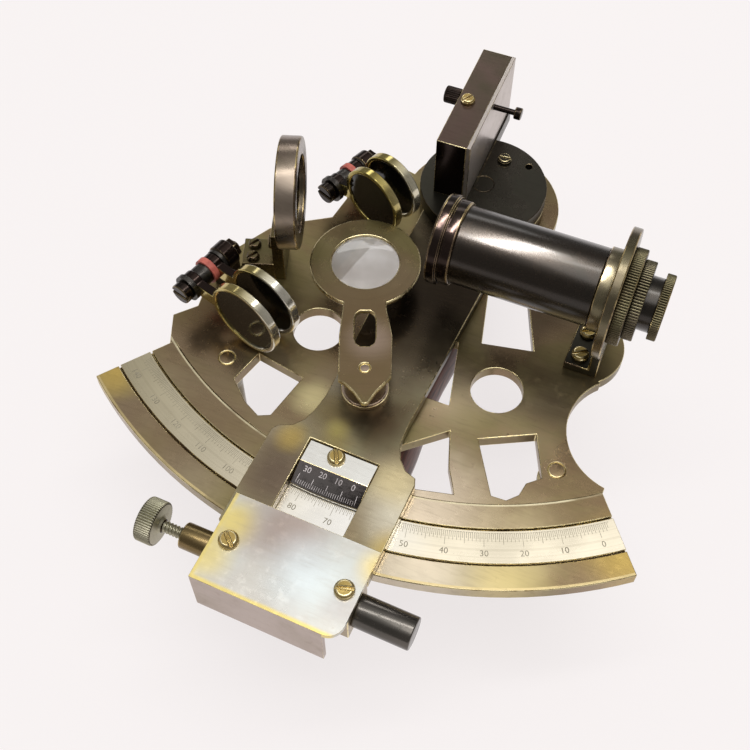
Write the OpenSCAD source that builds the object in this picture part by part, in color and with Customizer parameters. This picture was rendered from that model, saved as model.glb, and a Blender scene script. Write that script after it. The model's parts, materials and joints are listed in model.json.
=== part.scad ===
// Vernier sextant, lying face up on its three legs.
// The index pivot is the Z axis, the limb lies towards -Y, the telescope looks along -X.

/* [Limb and frame] */
// Outer radius of the limb
limb_r = 120; // [116:1:130]
// Half of the angle that the limb spans
limb_half = 37.4; // [36:0.2:40]
// Thickness of the limb
limb_t = 4; // [3:0.5:6]
// Height of the limb's face above the web's face
limb_step = 0.5; // [0.3:0.1:1]
// Distance from the limb's edge to its inner step
limb_w = 22.6; // [21:0.2:25]
// Distance from the limb's edge to the silver scale
scale_edge = 6.9; // [5.5:0.1:8]
// Radial width of the silver scale
scale_w = 8.5; // [7.5:0.1:9.5]
// Thickness of the silver scale
scale_t = 1; // [0.6:0.1:1.6]
// Width of the groove on each side of the scale
groove_w = 0.5; // [0.3:0.1:0.8]
// Radius of the frame's apex round the pivot
apex_r = 22.5; // [20:0.5:25]
// Height of the frame's underside above the ground
leg_h = 42; // [36:1:55]
// Radius of a leg's foot
foot_r = 5.5; // [4:0.5:7]

/* [Index arm] */
// Angle of the arm at rest, from the middle of the limb
arm_rest = -1.8; // [-3:0.1:0]
// Thickness of the arm
arm_t = 3; // [2:0.5:4]
// Running gap between the arm and the limb
arm_gap = 0.5; // [0.3:0.1:1]
// Half width of the arm at the pivot
arm_root_w = 13.4; // [12:0.2:15]
// Half width of the arm at its shoulders
arm_neck_w = 11.4; // [10:0.2:12.5]
// Half width of the arm's end over the limb
arm_end_w = 19.6; // [18.5:0.1:21]
// Radius of the boss that carries the index mirror
boss_r = 18; // [16:0.5:20]
// Height of that boss above the arm
boss_h = 4.5; // [3:0.5:6]
// Radius of the index spindle
spindle_r = 3; // [2.5:0.1:4]
// Radial clearance of the spindle and other turning fits
run_fit = 0.05; // [0.02:0.01:0.1]

/* [Index mirror] */
// Length of the index mirror's case
mirror_l = 39; // [34:1:42]
// Depth of the case, front to back
mirror_d = 9.7; // [8.5:0.1:11]
// Height of the case
mirror_h = 20; // [18:1:24]
// Turn of the case from the arm's line
mirror_yaw = 2.4; // [0:0.1:5]
// Wall of the case
mirror_wall = 1.6; // [1.2:0.1:2]

/* [Vernier, magnifier and tangent screw] */
// Half width of the window over the scale
window_w = 9.4; // [8.5:0.1:10.5]
// Height of the magnifier's plate above the limb
magnifier_z = 12.5; // [12.3:0.1:12.6]
// Thickness of the magnifier's plate
magnifier_t = 1.4; // [1.2:0.1:1.5]
// Distance from the magnifier's pivot to its lens
magnifier_l = 33.7; // [32:0.1:34]
// Outer radius of the magnifier's ring
magnifier_r = 14.7; // [13:0.1:14.8]
// Radius of the magnifier's lens
lens_r = 9; // [8:0.1:10]
// Turn of the magnifier at rest, from the arm's line
magnifier_rest = 24.4; // [22:0.2:26]
// Thickness of the cover plate and its flange
cover_t = 1.4; // [1:0.1:2]
// Depth of the cover's flange below its face
flange_h = 16; // [14.5:0.5:18]
// Radius of the tangent screw's thread
thread_r = 1.55; // [1.2:0.05:1.7]
// Radius of the tangent screw's knurled head
head_r = 5.7; // [5:0.1:6.5]
// Radius of the spring barrel
barrel_r = 4.1; // [3.9:0.1:4.5]
// Length of the spring barrel
barrel_l = 14.3; // [13.5:0.1:16]

/* [Telescope] */
// Height of the telescope's axis above the limb
tel_z = 27.5; // [26.8:0.1:30]
// Distance from the pivot to the telescope's axis
tel_y = 39; // [37:0.5:41]
// Radius of the main tube
tube_r = 10.1; // [9.5:0.1:10.5]
// Wall of the main tube
tube_wall = 1; // [0.6:0.1:1.5]
// Radius of the objective's rims
rim_r = 11.7; // [11:0.1:12]
// Radius of the ring plate that holds the telescope
holder_r = 16.7; // [15:0.1:18]
// Radius of the knurled focus ring
focus_r = 12.3; // [11:0.1:13.5]
// Radius of the draw tube
draw_r = 6.9; // [6:0.1:7.2]

/* [Horizon mirror and shades] */
// Height of the horizon mirror's middle above the limb
ring_z = 28.9; // [28.6:0.1:31]
// Outer radius of the horizon mirror's ring
ring_r = 14.6; // [13:0.1:14.7]
// Depth of that ring
ring_d = 5.4; // [4.6:0.1:6.5]
// Angle of the horizon mirror's face from the telescope's line
ring_yaw = 19.2; // [18:0.2:21]
// Radius of a horizon shade's rim
horizon_shade_r = 10.7; // [10:0.1:10.9]
// Radius of an index shade's rim
index_shade_r = 9.7; // [9:0.1:9.9]
// Thickness of a shade's rim
shade_t = 2.5; // [2:0.1:2.7]
// Distance from the horizon shades' pin to the middle of a shade
horizon_shade_l = 18.5; // [17.5:0.1:19]
// Distance from the index shades' pin to the middle of a shade
index_shade_l = 15.5; // [15:0.1:17]
// Height of the horizon shades' pin above the limb
horizon_pin_z = 12; // [11.8:0.1:13]
// Height of the index shades' pin above the limb
index_pin_z = 8.5; // [8:0.1:9]
// Angle by which the index shades stand above the level
index_tilt = 20; // [15:1:25]
// Radius of the shades' pins
pin_r = 1.5; // [1.2:0.1:1.8]

/* [Hidden] */
$fn = 72;

bronze = [0.36, 0.32, 0.22];
dark_bronze = [0.20, 0.16, 0.13];
black_bronze = [0.12, 0.11, 0.10];
brass = [0.80, 0.62, 0.25];
silver = [0.80, 0.80, 0.76];
cut = 1;
face_gap = 0.05;

deck = leg_h + limb_t;
limb_in = limb_r - limb_w;
scale_out = limb_r - scale_edge;
scale_in = scale_out - scale_w;
web_top = deck - limb_step;
arm_z = deck + arm_gap;
arm_top = arm_z + arm_t;
boss_top = arm_top + boss_h;

// Part of a flat ring between two radii, to the given angle on each side of the limb's middle
module limb_ring(inner, outer, half) {
  reach = limb_r * 1.5;
  intersection() {
    difference() {
      circle(outer, $fn = 180);
      circle(inner, $fn = 180);
    }
    polygon([
      [0, 0], [-reach * sin(half), -reach * cos(half)], [-reach, -2 * reach],
      [reach, -2 * reach], [reach * sin(half), -reach * cos(half)]
    ]);
  }
}

// Places children in the index arm's frame, in which the arm points along -Y
module on_arm() {
  rotate([0, 0, arm_rest]) children();
}

// Cheese-headed screw with a slot, its seat at z = 0 and its shank below
module slotted_screw(head, height, shank, length, turn = 0) {
  slot_w = head * 0.28;
  difference() {
    union() {
      cylinder(r = head, h = height * 0.55);
      translate([0, 0, height * 0.55]) cylinder(r1 = head, r2 = head * 0.78, h = height * 0.45, $fn = 48);
      translate([0, 0, -length]) cylinder(r = shank, h = length + height * 0.2);
    }
    rotate([0, 0, turn]) translate([-head * 1.5, -slot_w / 2, height * 0.5]) cube([head * 3, slot_w, height]);
  }
}

// Disc with a knurled edge of straight notches
module knurled(radius, height, notches, depth) {
  difference() {
    cylinder(r = radius, h = height);
    for (i = [0 : notches - 1]) {
      rotate([0, 0, i * 360 / notches])
        translate([radius - depth, 0, -cut])
          rotate([0, 0, -45]) cube([depth * 3, depth * 3, height + 2 * cut]);
    }
  }
}

/* Frame */

web_drawn_in = 97.4;
web_k = limb_in / web_drawn_in;
rivet_left = [-44, -76.7] * web_k;
rivet_right = [46.9, -75.5] * web_k;
rivet_r = 2.2;
web_hole_x = 25.4 * web_k;
web_hole_y = -58.9 * web_k;
web_hole_r = 6.9;
lobe_x = 40;
lobe_y = -37;
lobe_r = 13;
waist_x = 62.5 * web_k;
waist_y = -58.5 * web_k;
waist_r = 17.5 * web_k;

// Outline whose points were drawn for the first size of limb, brought to this one
module web_shape(points) {
  polygon([for (p = points) p * web_k]);
}

// Outline of the web on the telescope's side, its last points inside the limb
module web_right() {
  difference() {
    union() {
      web_shape([
        [0, 0], [20.3, -9.5], [50.5, -29.2], [53, -37], [49.2, -46.2], [58, -52], [59.4, -74.4],
        [59.2, -80.9], [45, -89], [30, -95], [15, -98.5], [0, -100]
      ]);
      translate([lobe_x, lobe_y]) circle(lobe_r);
    }
    translate([waist_x, waist_y]) circle(waist_r);
  }
}

// Outline of the web on the mirror's side, with the pads that carry the shades
module web_left() {
  web_shape([
    [0, 0], [-14, 2], [-28, 5], [-38, 4], [-39.5, -6], [-37, -13], [-38, -21], [-50.5, -29.2], [-53, -32],
    [-59.5, -44], [-60.5, -56], [-59.1, -64.3], [-63.9, -69.6],
    [-59.2, -80.9], [-45, -89], [-30, -95], [-15, -98.5], [0, -100]
  ]);
}

// Openings in the web: two round holes, two shields, two trapezoids and the two behind the arm
module web_openings() {
  for (side = [-1, 1]) {
    translate([side * web_hole_x, web_hole_y]) circle(web_hole_r);
    web_shape([[side * 12, -26.5], [side * 23, -26], [side * 30.3, -43.6], [side * 16.8, -46.4]]);
  }
  web_shape([[25.9, -74.6], [39, -67.7], [44.2, -79], [41, -81.9], [40.4, -85.6], [38, -88.2], [34.2, -88.4]]);
  web_shape([[-36.7, -72.3], [-22.9, -74.8], [-25.8, -88.2], [-28.7, -89.6], [-33.6, -87.1], [-39.3, -82]]);
  web_shape([[-11, -48.6], [11, -48.6], [15.5, -68], [-15.5, -68]]);
  web_shape([[-8.4, -83.9], [8.4, -83.9], [18.4, -75.1], [21.6, -84.6], [25.6, -91.6], [12, -94.9],
    [-12, -94.9], [-18.4, -91.5], [-14, -80]]);
}

module frame_plate() color(bronze) {
  bush_r = spindle_r + 2;
  difference() {
    union() {
      translate([0, 0, leg_h]) linear_extrude(limb_t) limb_ring(limb_in, limb_r, limb_half);
      translate([0, 0, leg_h]) linear_extrude(limb_t - limb_step)
        difference() {
          union() {
            circle(apex_r);
            web_right();
            web_left();
          }
          web_openings();
        }
    }
    translate([0, 0, deck - scale_t]) linear_extrude(limb_t)
      limb_ring(scale_in - groove_w, scale_out + groove_w, limb_half + 2);
    translate([0, 0, leg_h - cut]) cylinder(r = bush_r, h = limb_t + 2 * cut);
    for (at = [rivet_left, rivet_right]) translate([at[0], at[1], leg_h - cut]) cylinder(r = rivet_r, h = limb_t + 2 * cut);
  }
}

module limb_scale() color(silver) {
  translate([0, 0, deck - scale_t]) linear_extrude(scale_t) limb_ring(scale_in, scale_out, limb_half);
}

module pivot_bush() color(brass) {
  bush_r = spindle_r + 2;
  difference() {
    union() {
      translate([0, 0, leg_h]) cylinder(r = bush_r, h = deck - leg_h - limb_step);
      translate([0, 0, web_top]) cylinder(r = bush_r + 4, h = limb_step + arm_gap);
    }
    translate([0, 0, leg_h - cut]) cylinder(r = spindle_r + run_fit, h = limb_t + 3 * cut);
  }
}

// Turned leg whose rivet passes through the web
module leg() {
  neck_r = foot_r * 0.55;
  rotate_extrude() polygon([
    [0, 0], [foot_r, 0], [foot_r, 2], [foot_r * 0.82, 4.5], [neck_r, 9], [neck_r, leg_h - 8],
    [foot_r * 0.65, leg_h - 5], [foot_r * 0.8, leg_h - 2.5], [foot_r * 0.8, leg_h], [0, leg_h]
  ]);
  translate([0, 0, leg_h - cut]) cylinder(r = rivet_r - 0.01, h = limb_t - limb_step + cut);
}

module leg_left() color(bronze) translate(rivet_left) leg();
module leg_right() color(bronze) translate(rivet_right) leg();

// Hollow leg under the pivot, which covers the end of the spindle
module pivot_foot() color(bronze) {
  cup_r = 9.5;
  difference() {
    rotate_extrude() polygon([
      [0, 0], [foot_r, 0], [foot_r, 2], [foot_r * 0.82, 4.5], [foot_r * 0.6, 10], [foot_r * 0.6, leg_h - 18],
      [cup_r, leg_h - 12], [cup_r, leg_h], [0, leg_h]
    ]);
    translate([0, 0, leg_h - 9]) cylinder(r = cup_r - 2, h = 9 + cut);
  }
}

grip_x = 1;
grip_drop = 17.5;
grip_axis = leg_h - grip_drop;
grip_end_r = 4.6;
post_y = [-22, -limb_in - 3.1];
post_w = 6.4;
post_l = 7;
grip_y0 = post_y[0] - post_l / 2 - 4.5;
grip_y1 = post_y[1] + post_l / 2 + 1;

// Wooden grip under the web, along the arm's line
module handle_grip() color([0.30, 0.12, 0.07]) {
  grip_l = grip_y0 - grip_y1;
  translate([grip_x, grip_y0, grip_axis]) rotate([90, 0, 0])
    rotate_extrude() polygon([
      [0, 0], [6, 0], [8.2, 2], [9, 6], [8.4, 14], [7.6, 24], [8.6, grip_l * 0.55], [9.4, grip_l * 0.72],
      [9, grip_l - 8], [7.4, grip_l - 2], [5.5, grip_l], [0, grip_l]
    ]);
}

module handle_posts() color(brass) {
  below = 6;
  for (y = post_y)
    translate([grip_x - post_w / 2, y - post_l / 2, grip_axis - below]) cube([post_w, post_l, grip_drop + below]);
  translate([grip_x, post_y[0] - post_l / 2, grip_axis]) rotate([90, 0, 0])
    cylinder(r = grip_end_r, h = post_y[0] - post_l / 2 - grip_y0);
  translate([grip_x, grip_y1, grip_axis]) rotate([90, 0, 0])
    cylinder(r = grip_end_r, h = grip_y1 - post_y[1] - post_l / 2);
}

module handle_screws() color(brass) {
  translate([grip_x, post_y[0] + post_l / 2, grip_axis]) rotate([-90, 0, 0]) slotted_screw(2.6, 1.6, 1, 0);
  translate([grip_x, post_y[1] - post_l / 2, grip_axis]) rotate([90, 0, 0]) slotted_screw(2.6, 1.6, 1, 0);
}

/* Telescope */

tel_front = 0.5;
holder_x = 45.6;
holder_t = 2.4;
collar_l = 3.2;
sleeve_r = 7.9;
sleeve_l = 5.8;
cap_l = 2.3;
drum_l = 3;
ring_gap = 3;
holder_foot_l = 6.6;
holder_foot_h = 2.6;
holder_near = -tel_y - 6.6;
holder_far = -tel_y + 8.4;
holder_screw_in = 3.7;
lens_seat_r = tube_r - 0.65;

// Places children on the telescope's axis, local Z towards the eyepiece
module on_telescope() {
  translate([0, -tel_y, deck + tel_z]) rotate([0, 90, 0]) children();
}

module telescope_holder() color(dark_bronze) {
  difference() {
    union() {
      translate([holder_x, -tel_y, deck + tel_z]) rotate([0, 90, 0]) cylinder(r = holder_r, h = holder_t);
      translate([holder_x, holder_near, web_top]) cube([holder_t, holder_far - holder_near, tel_z]);
      translate([holder_x - holder_foot_l, holder_near, web_top])
        cube([holder_foot_l + cut, holder_far - holder_near, holder_foot_h]);
    }
    on_telescope() translate([0, 0, holder_x - cut]) cylinder(r = sleeve_r, h = holder_t + 2 * cut);
    for (y = [holder_near + holder_screw_in, holder_far - holder_screw_in])
      translate([holder_x - holder_foot_l / 2, y, web_top - cut]) cylinder(r = 1.2, h = holder_foot_h + 2 * cut);
  }
}

module holder_screws() color(brass) {
  for (y = [holder_near + holder_screw_in, holder_far - holder_screw_in])
    translate([holder_x - holder_foot_l / 2, y, web_top + holder_foot_h])
      slotted_screw(2.3, 1.6, 1.17, holder_foot_h, 30);
}

module telescope_tube() color(black_bronze) {
  on_telescope() difference() {
    union() {
      translate([0, 0, tel_front + 3]) cylinder(r = tube_r, h = holder_x - tel_front - 3);
      translate([0, 0, holder_x - collar_l]) cylinder(r = tube_r + 0.6, h = collar_l);
    }
    translate([0, 0, tel_front]) cylinder(r = tube_r - tube_wall, h = holder_x);
  }
}

module objective_cell() color(black_bronze) {
  on_telescope() translate([0, 0, tel_front]) rotate_extrude() polygon([
    [lens_seat_r - 0.7, 0], [rim_r - 0.3, 0], [rim_r, 0.4], [rim_r, 2.6], [rim_r - 1, 3], [rim_r - 1, 5.6],
    [rim_r - 1.3, 6], [tube_r + run_fit, 6], [tube_r + run_fit, 3], [lens_seat_r, 3], [lens_seat_r, 1],
    [lens_seat_r - 0.7, 1]
  ]);
}

module objective_lens() color([0.75, 0.82, 0.85, 0.5]) {
  on_telescope() translate([0, 0, tel_front + 1]) cylinder(r = lens_seat_r - run_fit, h = 2);
}

// Threaded sleeve with the lock ring behind the focus ring
module focus_sleeve() color(dark_bronze) {
  lock_r = 10.1;
  on_telescope() difference() {
    union() {
      translate([0, 0, holder_x]) cylinder(r = sleeve_r - 0.01, h = holder_t + sleeve_l);
      translate([0, 0, holder_x + holder_t + ring_gap]) knurled(lock_r, sleeve_l - ring_gap, 40, 0.35);
    }
    translate([0, 0, holder_x - cut]) cylinder(r = draw_r + run_fit, h = holder_t + sleeve_l + 2 * cut);
  }
}

module focus_ring() color(dark_bronze) {
  on_telescope() translate([0, 0, holder_x + holder_t + face_gap]) difference() {
    knurled(focus_r, ring_gap - 2 * face_gap, 60, 0.35);
    translate([0, 0, -cut]) cylinder(r = sleeve_r + run_fit, h = ring_gap + 2 * cut);
  }
}

module draw_tube() color(black_bronze) {
  inside = 14;
  on_telescope() translate([0, 0, holder_x - inside]) difference() {
    cylinder(r = draw_r, h = inside + holder_t + sleeve_l + drum_l);
    translate([0, 0, -cut]) cylinder(r = draw_r - 1, h = inside + holder_t + sleeve_l + drum_l + 2 * cut);
  }
}

module eyepiece_cap() color(dark_bronze) {
  cap_r = draw_r + 1.5;
  on_telescope() translate([0, 0, holder_x + holder_t + sleeve_l + drum_l]) difference() {
    knurled(cap_r, cap_l, 44, 0.3);
    translate([0, 0, -cut]) cylinder(r = 3.4, h = cap_l + 2 * cut);
    translate([0, 0, -cut]) cylinder(r = 4.5, h = cut + 1.2);
  }
}

module eye_lens() color([0.75, 0.82, 0.85, 0.5]) {
  on_telescope() translate([0, 0, holder_x + holder_t + sleeve_l + drum_l]) cylinder(r = 4.45, h = 1.2);
}

/* Horizon mirror */

ring_x = -40 * web_k;
ring_y = -40.9 * web_k;
glass_r = 12;
glass_t = 1.8;
post_t = 3;
lip_t = 1.9;
block_l = 9;
block_h = 5;
block_screw = 2.2;
bracket_back = -ring_d / 2 - post_t;

// Places children on the horizon mirror's ring, local X out of its face and Y along it
module on_ring() {
  translate([ring_x, ring_y, 0]) rotate([0, 0, ring_yaw]) children();
}

module horizon_ring() color(bronze) {
  lip_r = 10;
  on_ring() translate([-ring_d / 2, 0, deck + ring_z]) rotate([0, 90, 0]) difference() {
    cylinder(r = ring_r, h = ring_d);
    translate([0, 0, -cut]) cylinder(r = lip_r, h = ring_d + 2 * cut);
    translate([0, 0, -cut]) cylinder(r = glass_r, h = ring_d - lip_t + cut);
  }
}

module horizon_glass() color([0.7, 0.75, 0.78, 0.7]) {
  on_ring() translate([ring_d / 2 - lip_t - glass_t, 0, deck + ring_z]) rotate([0, 90, 0])
    cylinder(r = glass_r - run_fit, h = glass_t);
}

module horizon_retainer() color(dark_bronze) {
  on_ring() translate([-ring_d / 2, 0, deck + ring_z]) rotate([0, 90, 0]) difference() {
    cylinder(r = glass_r - run_fit, h = ring_d - lip_t - glass_t);
    translate([0, 0, -cut]) cylinder(r = glass_r - 2, h = ring_d);
  }
}

module horizon_bracket() color(brass) {
  on_ring() difference() {
    union() {
      translate([bracket_back, -5.5, web_top]) cube([post_t, 11, ring_z - 11.5 + limb_step]);
      translate([bracket_back - block_l, -4.5, web_top]) cube([block_l + cut, 9, block_h]);
    }
    for (y = [-block_screw, block_screw])
      translate([bracket_back - block_l + 3, y, web_top - cut]) cylinder(r = 0.9, h = block_h + 2 * cut);
    translate([bracket_back - cut, 0, deck + 9]) rotate([0, 90, 0]) cylinder(r = 1.2, h = post_t + 2 * cut);
  }
}

module horizon_screws() color(brass) {
  on_ring() {
    for (y = [-block_screw, block_screw])
      translate([bracket_back - block_l + 3, y, web_top + block_h]) slotted_screw(1.8, 1.4, 0.88, block_h, 40);
    translate([bracket_back, 0, deck + 9]) rotate([0, -90, 0]) slotted_screw(2.2, 1.6, 1.18, post_t, 20);
  }
}

/* Shades */

horizon_yaw = -16;
horizon_pin = [-53.9, -52.4] * web_k;
horizon_far = 6.3;
horizon_near = 13.9;
index_yaw = -22.3;
index_pin = [-33.1, -4.7] * web_k;
index_far = 5.6;
index_near = 12.9;
lug_r = 3.3;
rim_w = 1.2;
post_depth = 4;
head_l = 2.6;
red_t = 1.8;

// Places children on a shades' pin, local X towards the glass and Z along the pin
module on_pin(at, height, yaw) {
  translate([at[0], at[1], deck + height]) rotate([0, 0, yaw]) rotate([90, 0, 0]) children();
}

// Rim, neck and lug of one shade, its middle at the given distance along the pin
module shade_rim(along, tilt, rim, reach) {
  neck_w = 4.2;
  difference() {
    translate([0, 0, along - shade_t / 2]) rotate([0, 0, tilt]) union() {
      translate([reach, 0, 0]) cylinder(r = rim, h = shade_t);
      translate([0, -neck_w / 2, 0]) cube([reach - rim + 1, neck_w, shade_t]);
      cylinder(r = lug_r, h = shade_t);
    }
    rotate([0, 0, tilt]) translate([reach, 0, along - shade_t]) cylinder(r = rim - rim_w, h = 2 * shade_t);
    translate([0, 0, along - shade_t]) cylinder(r = pin_r + run_fit, h = 2 * shade_t);
  }
}

module shade_glass(along, tilt, rim, reach) {
  translate([0, 0, along - shade_t * 0.3]) rotate([0, 0, tilt]) translate([reach, 0, 0])
    cylinder(r = rim - rim_w, h = shade_t * 0.6);
}

// Upright that holds the far end of a pin, its foot on the web
module shade_bracket(height) {
  w = 7;
  difference() {
    union() {
      cylinder(r = w / 2 + 0.3, h = post_depth);
      translate([-w / 2, -height - limb_step, 0]) cube([w, height + limb_step, post_depth]);
    }
    translate([0, 0, -cut]) cylinder(r = pin_r + run_fit, h = post_depth + 2 * cut);
  }
}

// Pin with a nut behind the bracket and a slotted head at its free end
module shade_pin(reach) {
  slot_w = 0.9;
  difference() {
    union() {
      cylinder(r = pin_r, h = reach + head_l / 2);
      translate([0, 0, -1.8]) cylinder(r = 3, h = 1.8, $fn = 6);
      translate([0, 0, -2.6]) cylinder(r = pin_r, h = 2.6 + cut);
      translate([0, 0, reach]) cylinder(r = 2.9, h = head_l);
    }
    translate([-4, -slot_w / 2, reach + head_l - 1]) cube([8, slot_w, 2]);
  }
}

// Flat washer from one station of the pin to another
module washer(start, end, radius) {
  translate([0, 0, start]) difference() {
    cylinder(r = radius, h = end - start);
    translate([0, 0, -cut]) cylinder(r = pin_r + run_fit, h = end - start + 2 * cut);
  }
}

half_shade = shade_t / 2 + face_gap;
horizon_reach = horizon_near + half_shade + 1.4;
index_reach = index_near + half_shade + 1.4;

module horizon_shade_bracket() color(black_bronze) on_pin(horizon_pin, horizon_pin_z, horizon_yaw) shade_bracket(horizon_pin_z);
module index_shade_bracket() color(black_bronze) on_pin(index_pin, index_pin_z, index_yaw) shade_bracket(index_pin_z);
module horizon_shade_pin() color(dark_bronze) on_pin(horizon_pin, horizon_pin_z, horizon_yaw) shade_pin(horizon_reach);
module index_shade_pin() color(dark_bronze) on_pin(index_pin, index_pin_z, index_yaw) shade_pin(index_reach);

module fibre_washers() color([0.70, 0.25, 0.22]) {
  on_pin(horizon_pin, horizon_pin_z, horizon_yaw) washer(horizon_far + half_shade, horizon_far + half_shade + red_t, 3.6);
  on_pin(index_pin, index_pin_z, index_yaw) washer(index_far + half_shade, index_far + half_shade + red_t, 3.6);
}

module steel_washers() color([0.35, 0.35, 0.33]) {
  on_pin(horizon_pin, horizon_pin_z, horizon_yaw) {
    washer(post_depth, horizon_far - half_shade, 3.4);
    washer(horizon_far + half_shade + red_t, horizon_near - half_shade, 3);
    washer(horizon_near + half_shade, horizon_reach, 3.8);
  }
  on_pin(index_pin, index_pin_z, index_yaw) {
    washer(post_depth, index_far - half_shade, 3.4);
    washer(index_far + half_shade + red_t, index_near - half_shade, 3);
    washer(index_near + half_shade, index_reach, 3.8);
  }
}

module horizon_shade_1() color(brass)
  on_pin(horizon_pin, horizon_pin_z, horizon_yaw)
    shade_rim(horizon_far, 0, horizon_shade_r, horizon_shade_l);
module horizon_shade_2() color(brass)
  on_pin(horizon_pin, horizon_pin_z, horizon_yaw)
    shade_rim(horizon_near, 0, horizon_shade_r, horizon_shade_l);
module index_shade_1() color(brass)
  on_pin(index_pin, index_pin_z, index_yaw)
    shade_rim(index_far, index_tilt, index_shade_r, index_shade_l);
module index_shade_2() color(brass)
  on_pin(index_pin, index_pin_z, index_yaw)
    shade_rim(index_near, index_tilt, index_shade_r, index_shade_l);

module horizon_shade_1_glass() color([0.05, 0.05, 0.05])
  on_pin(horizon_pin, horizon_pin_z, horizon_yaw)
    shade_glass(horizon_far, 0, horizon_shade_r, horizon_shade_l);
module horizon_shade_2_glass() color([0.05, 0.05, 0.05])
  on_pin(horizon_pin, horizon_pin_z, horizon_yaw)
    shade_glass(horizon_near, 0, horizon_shade_r, horizon_shade_l);
module index_shade_1_glass() color([0.05, 0.05, 0.05])
  on_pin(index_pin, index_pin_z, index_yaw)
    shade_glass(index_far, index_tilt, index_shade_r, index_shade_l);
module index_shade_2_glass() color([0.05, 0.05, 0.05])
  on_pin(index_pin, index_pin_z, index_yaw)
    shade_glass(index_near, index_tilt, index_shade_r, index_shade_l);

/* Index arm */

window_top = limb_in + 0.6;
window_end = limb_r - 2;
pocket_top = limb_in - 4.5;
ledge_t = 1.2;
arm_end = limb_r + 2;
vernier_r = scale_in + 1;
vernier_t = 1.3;
vernier_top = arm_z + ledge_t + vernier_t;
vernier_screw_x = -1.2;
vernier_screw_y = -pocket_top - 2.35;
magnifier_x = -2.9;
magnifier_y = -74.5 * web_k;
post_hole_r = 1.3;
cheek_x = 18.5;
cheek_w = 6.8;
screw_x1 = -14.2;
screw_x2 = 15.8;
cover_screw_y = -arm_end - 4.5;
cover_screw_l = 2.5;
slide_y = -arm_end - 5.4;
slide_z = -1;
cheek_y0 = -arm_end - 10.8;
cheek_z0 = -6.4;
cover_y0 = -arm_end - 16.2;
barrel_x = 19.5;

module index_arm() color(bronze) {
  shoulder_y = -limb_in + 2.9;
  neck_y = shoulder_y + 14.5;
  on_arm() difference() {
    translate([0, 0, arm_z]) linear_extrude(arm_t) union() {
      circle(boss_r);
      polygon([
        [-arm_root_w, -8], [-(arm_root_w + arm_neck_w) / 2, neck_y + 32], [-arm_neck_w, neck_y],
        [-arm_neck_w - 0.7, neck_y - 5], [-arm_neck_w - 1.8, neck_y - 8.5], [-arm_neck_w - 3.8, neck_y - 11.2],
        [-arm_end_w + 1, shoulder_y + 1.6], [-arm_end_w, shoulder_y], [-arm_end_w, -arm_end],
        [arm_end_w, -arm_end], [arm_end_w, shoulder_y], [arm_end_w - 0.7, shoulder_y + 1.9],
        [arm_neck_w + 4.5, neck_y - 11.7], [arm_neck_w + 2.1, neck_y - 9.2], [arm_neck_w + 0.2, neck_y - 5],
        [arm_neck_w, neck_y], [(arm_root_w + arm_neck_w) / 2, neck_y + 32], [arm_root_w, -8]
      ]);
    }
    translate([-window_w, -window_end, arm_z - cut]) cube([2 * window_w, window_end - window_top, arm_t + 2 * cut]);
    translate([-window_w, -window_end, arm_z + ledge_t]) cube([2 * window_w, window_end - pocket_top, arm_t]);
    translate([vernier_screw_x, vernier_screw_y, arm_z - cut]) cylinder(r = 1.1, h = arm_t);
    translate([0, 0, arm_z - cut]) cylinder(r = spindle_r + 0.02, h = arm_t + 2 * cut);
    translate([magnifier_x, magnifier_y, arm_z - cut]) cylinder(r = 2, h = arm_t + 2 * cut);
  }
}

mirror_x0 = -12.3;
mirror_y0 = -7.9;
adjust_y = 12.5;
adjust_z = mirror_h - 2.5;
top_screw_x = 2.8;
top_screw_y = adjust_y - mirror_y0 - 3;
mirror_back_t = 1.2;
mirror_glass_back = 3.2;
foot_screw_x = 2.2;
foot_screw_y = 11;

module arm_boss() color(dark_bronze) {
  on_arm() difference() {
    union() {
      translate([0, 0, arm_top]) cylinder(r = boss_r, h = boss_h);
      rotate([0, 0, mirror_yaw]) translate([mirror_x0 - 0.5, mirror_y0 + 6, arm_top])
        cube([mirror_d + 1, mirror_l - 6 + 0.5, boss_h]);
    }
    translate([0, 0, arm_top - cut]) cylinder(r = spindle_r + 0.02, h = boss_h + 2 * cut);
    translate([foot_screw_x, foot_screw_y, boss_top - 3]) cylinder(r = 1.2, h = 4);
    translate([foot_screw_x + 7.3, foot_screw_y + 0.6, boss_top - 3]) cylinder(r = 1, h = 4);
  }
}

// Spindle with a nut and washer under the frame
module index_spindle() color(brass) {
  nut_h = 3;
  translate([0, 0, leg_h - 5]) cylinder(r = spindle_r, h = boss_top - leg_h + 5);
  translate([0, 0, leg_h - face_gap - 1 - nut_h]) cylinder(r = 5.6, h = nut_h, $fn = 6);
  translate([0, 0, leg_h - face_gap - 1]) cylinder(r = 6.6, h = 1);
}

// Places children in the mirror case's frame, its near bottom corner at the origin
module on_mirror() {
  on_arm() rotate([0, 0, mirror_yaw]) translate([mirror_x0, mirror_y0, boss_top]) children();
}

module index_mirror_case() color(dark_bronze) {
  on_mirror() difference() {
    cube([mirror_d - mirror_back_t, mirror_l, mirror_h]);
    translate([-cut, mirror_wall, mirror_wall])
      cube([mirror_glass_back + cut, mirror_l - 2 * mirror_wall, mirror_h - 2 * mirror_wall]);
    translate([mirror_glass_back - cut, mirror_wall + 1, mirror_wall + 1])
      cube([mirror_d - mirror_back_t - mirror_glass_back - 1.4 + cut, mirror_l - 2 * mirror_wall - 2,
        mirror_h - 2 * mirror_wall - 2]);
    translate([-cut, adjust_y - mirror_y0, adjust_z]) rotate([0, 90, 0]) cylinder(r = 0.85, h = mirror_d + 2 * cut);
    translate([top_screw_x, top_screw_y, mirror_h - mirror_wall]) cylinder(r = 0.9, h = mirror_wall + cut);
  }
}

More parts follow.
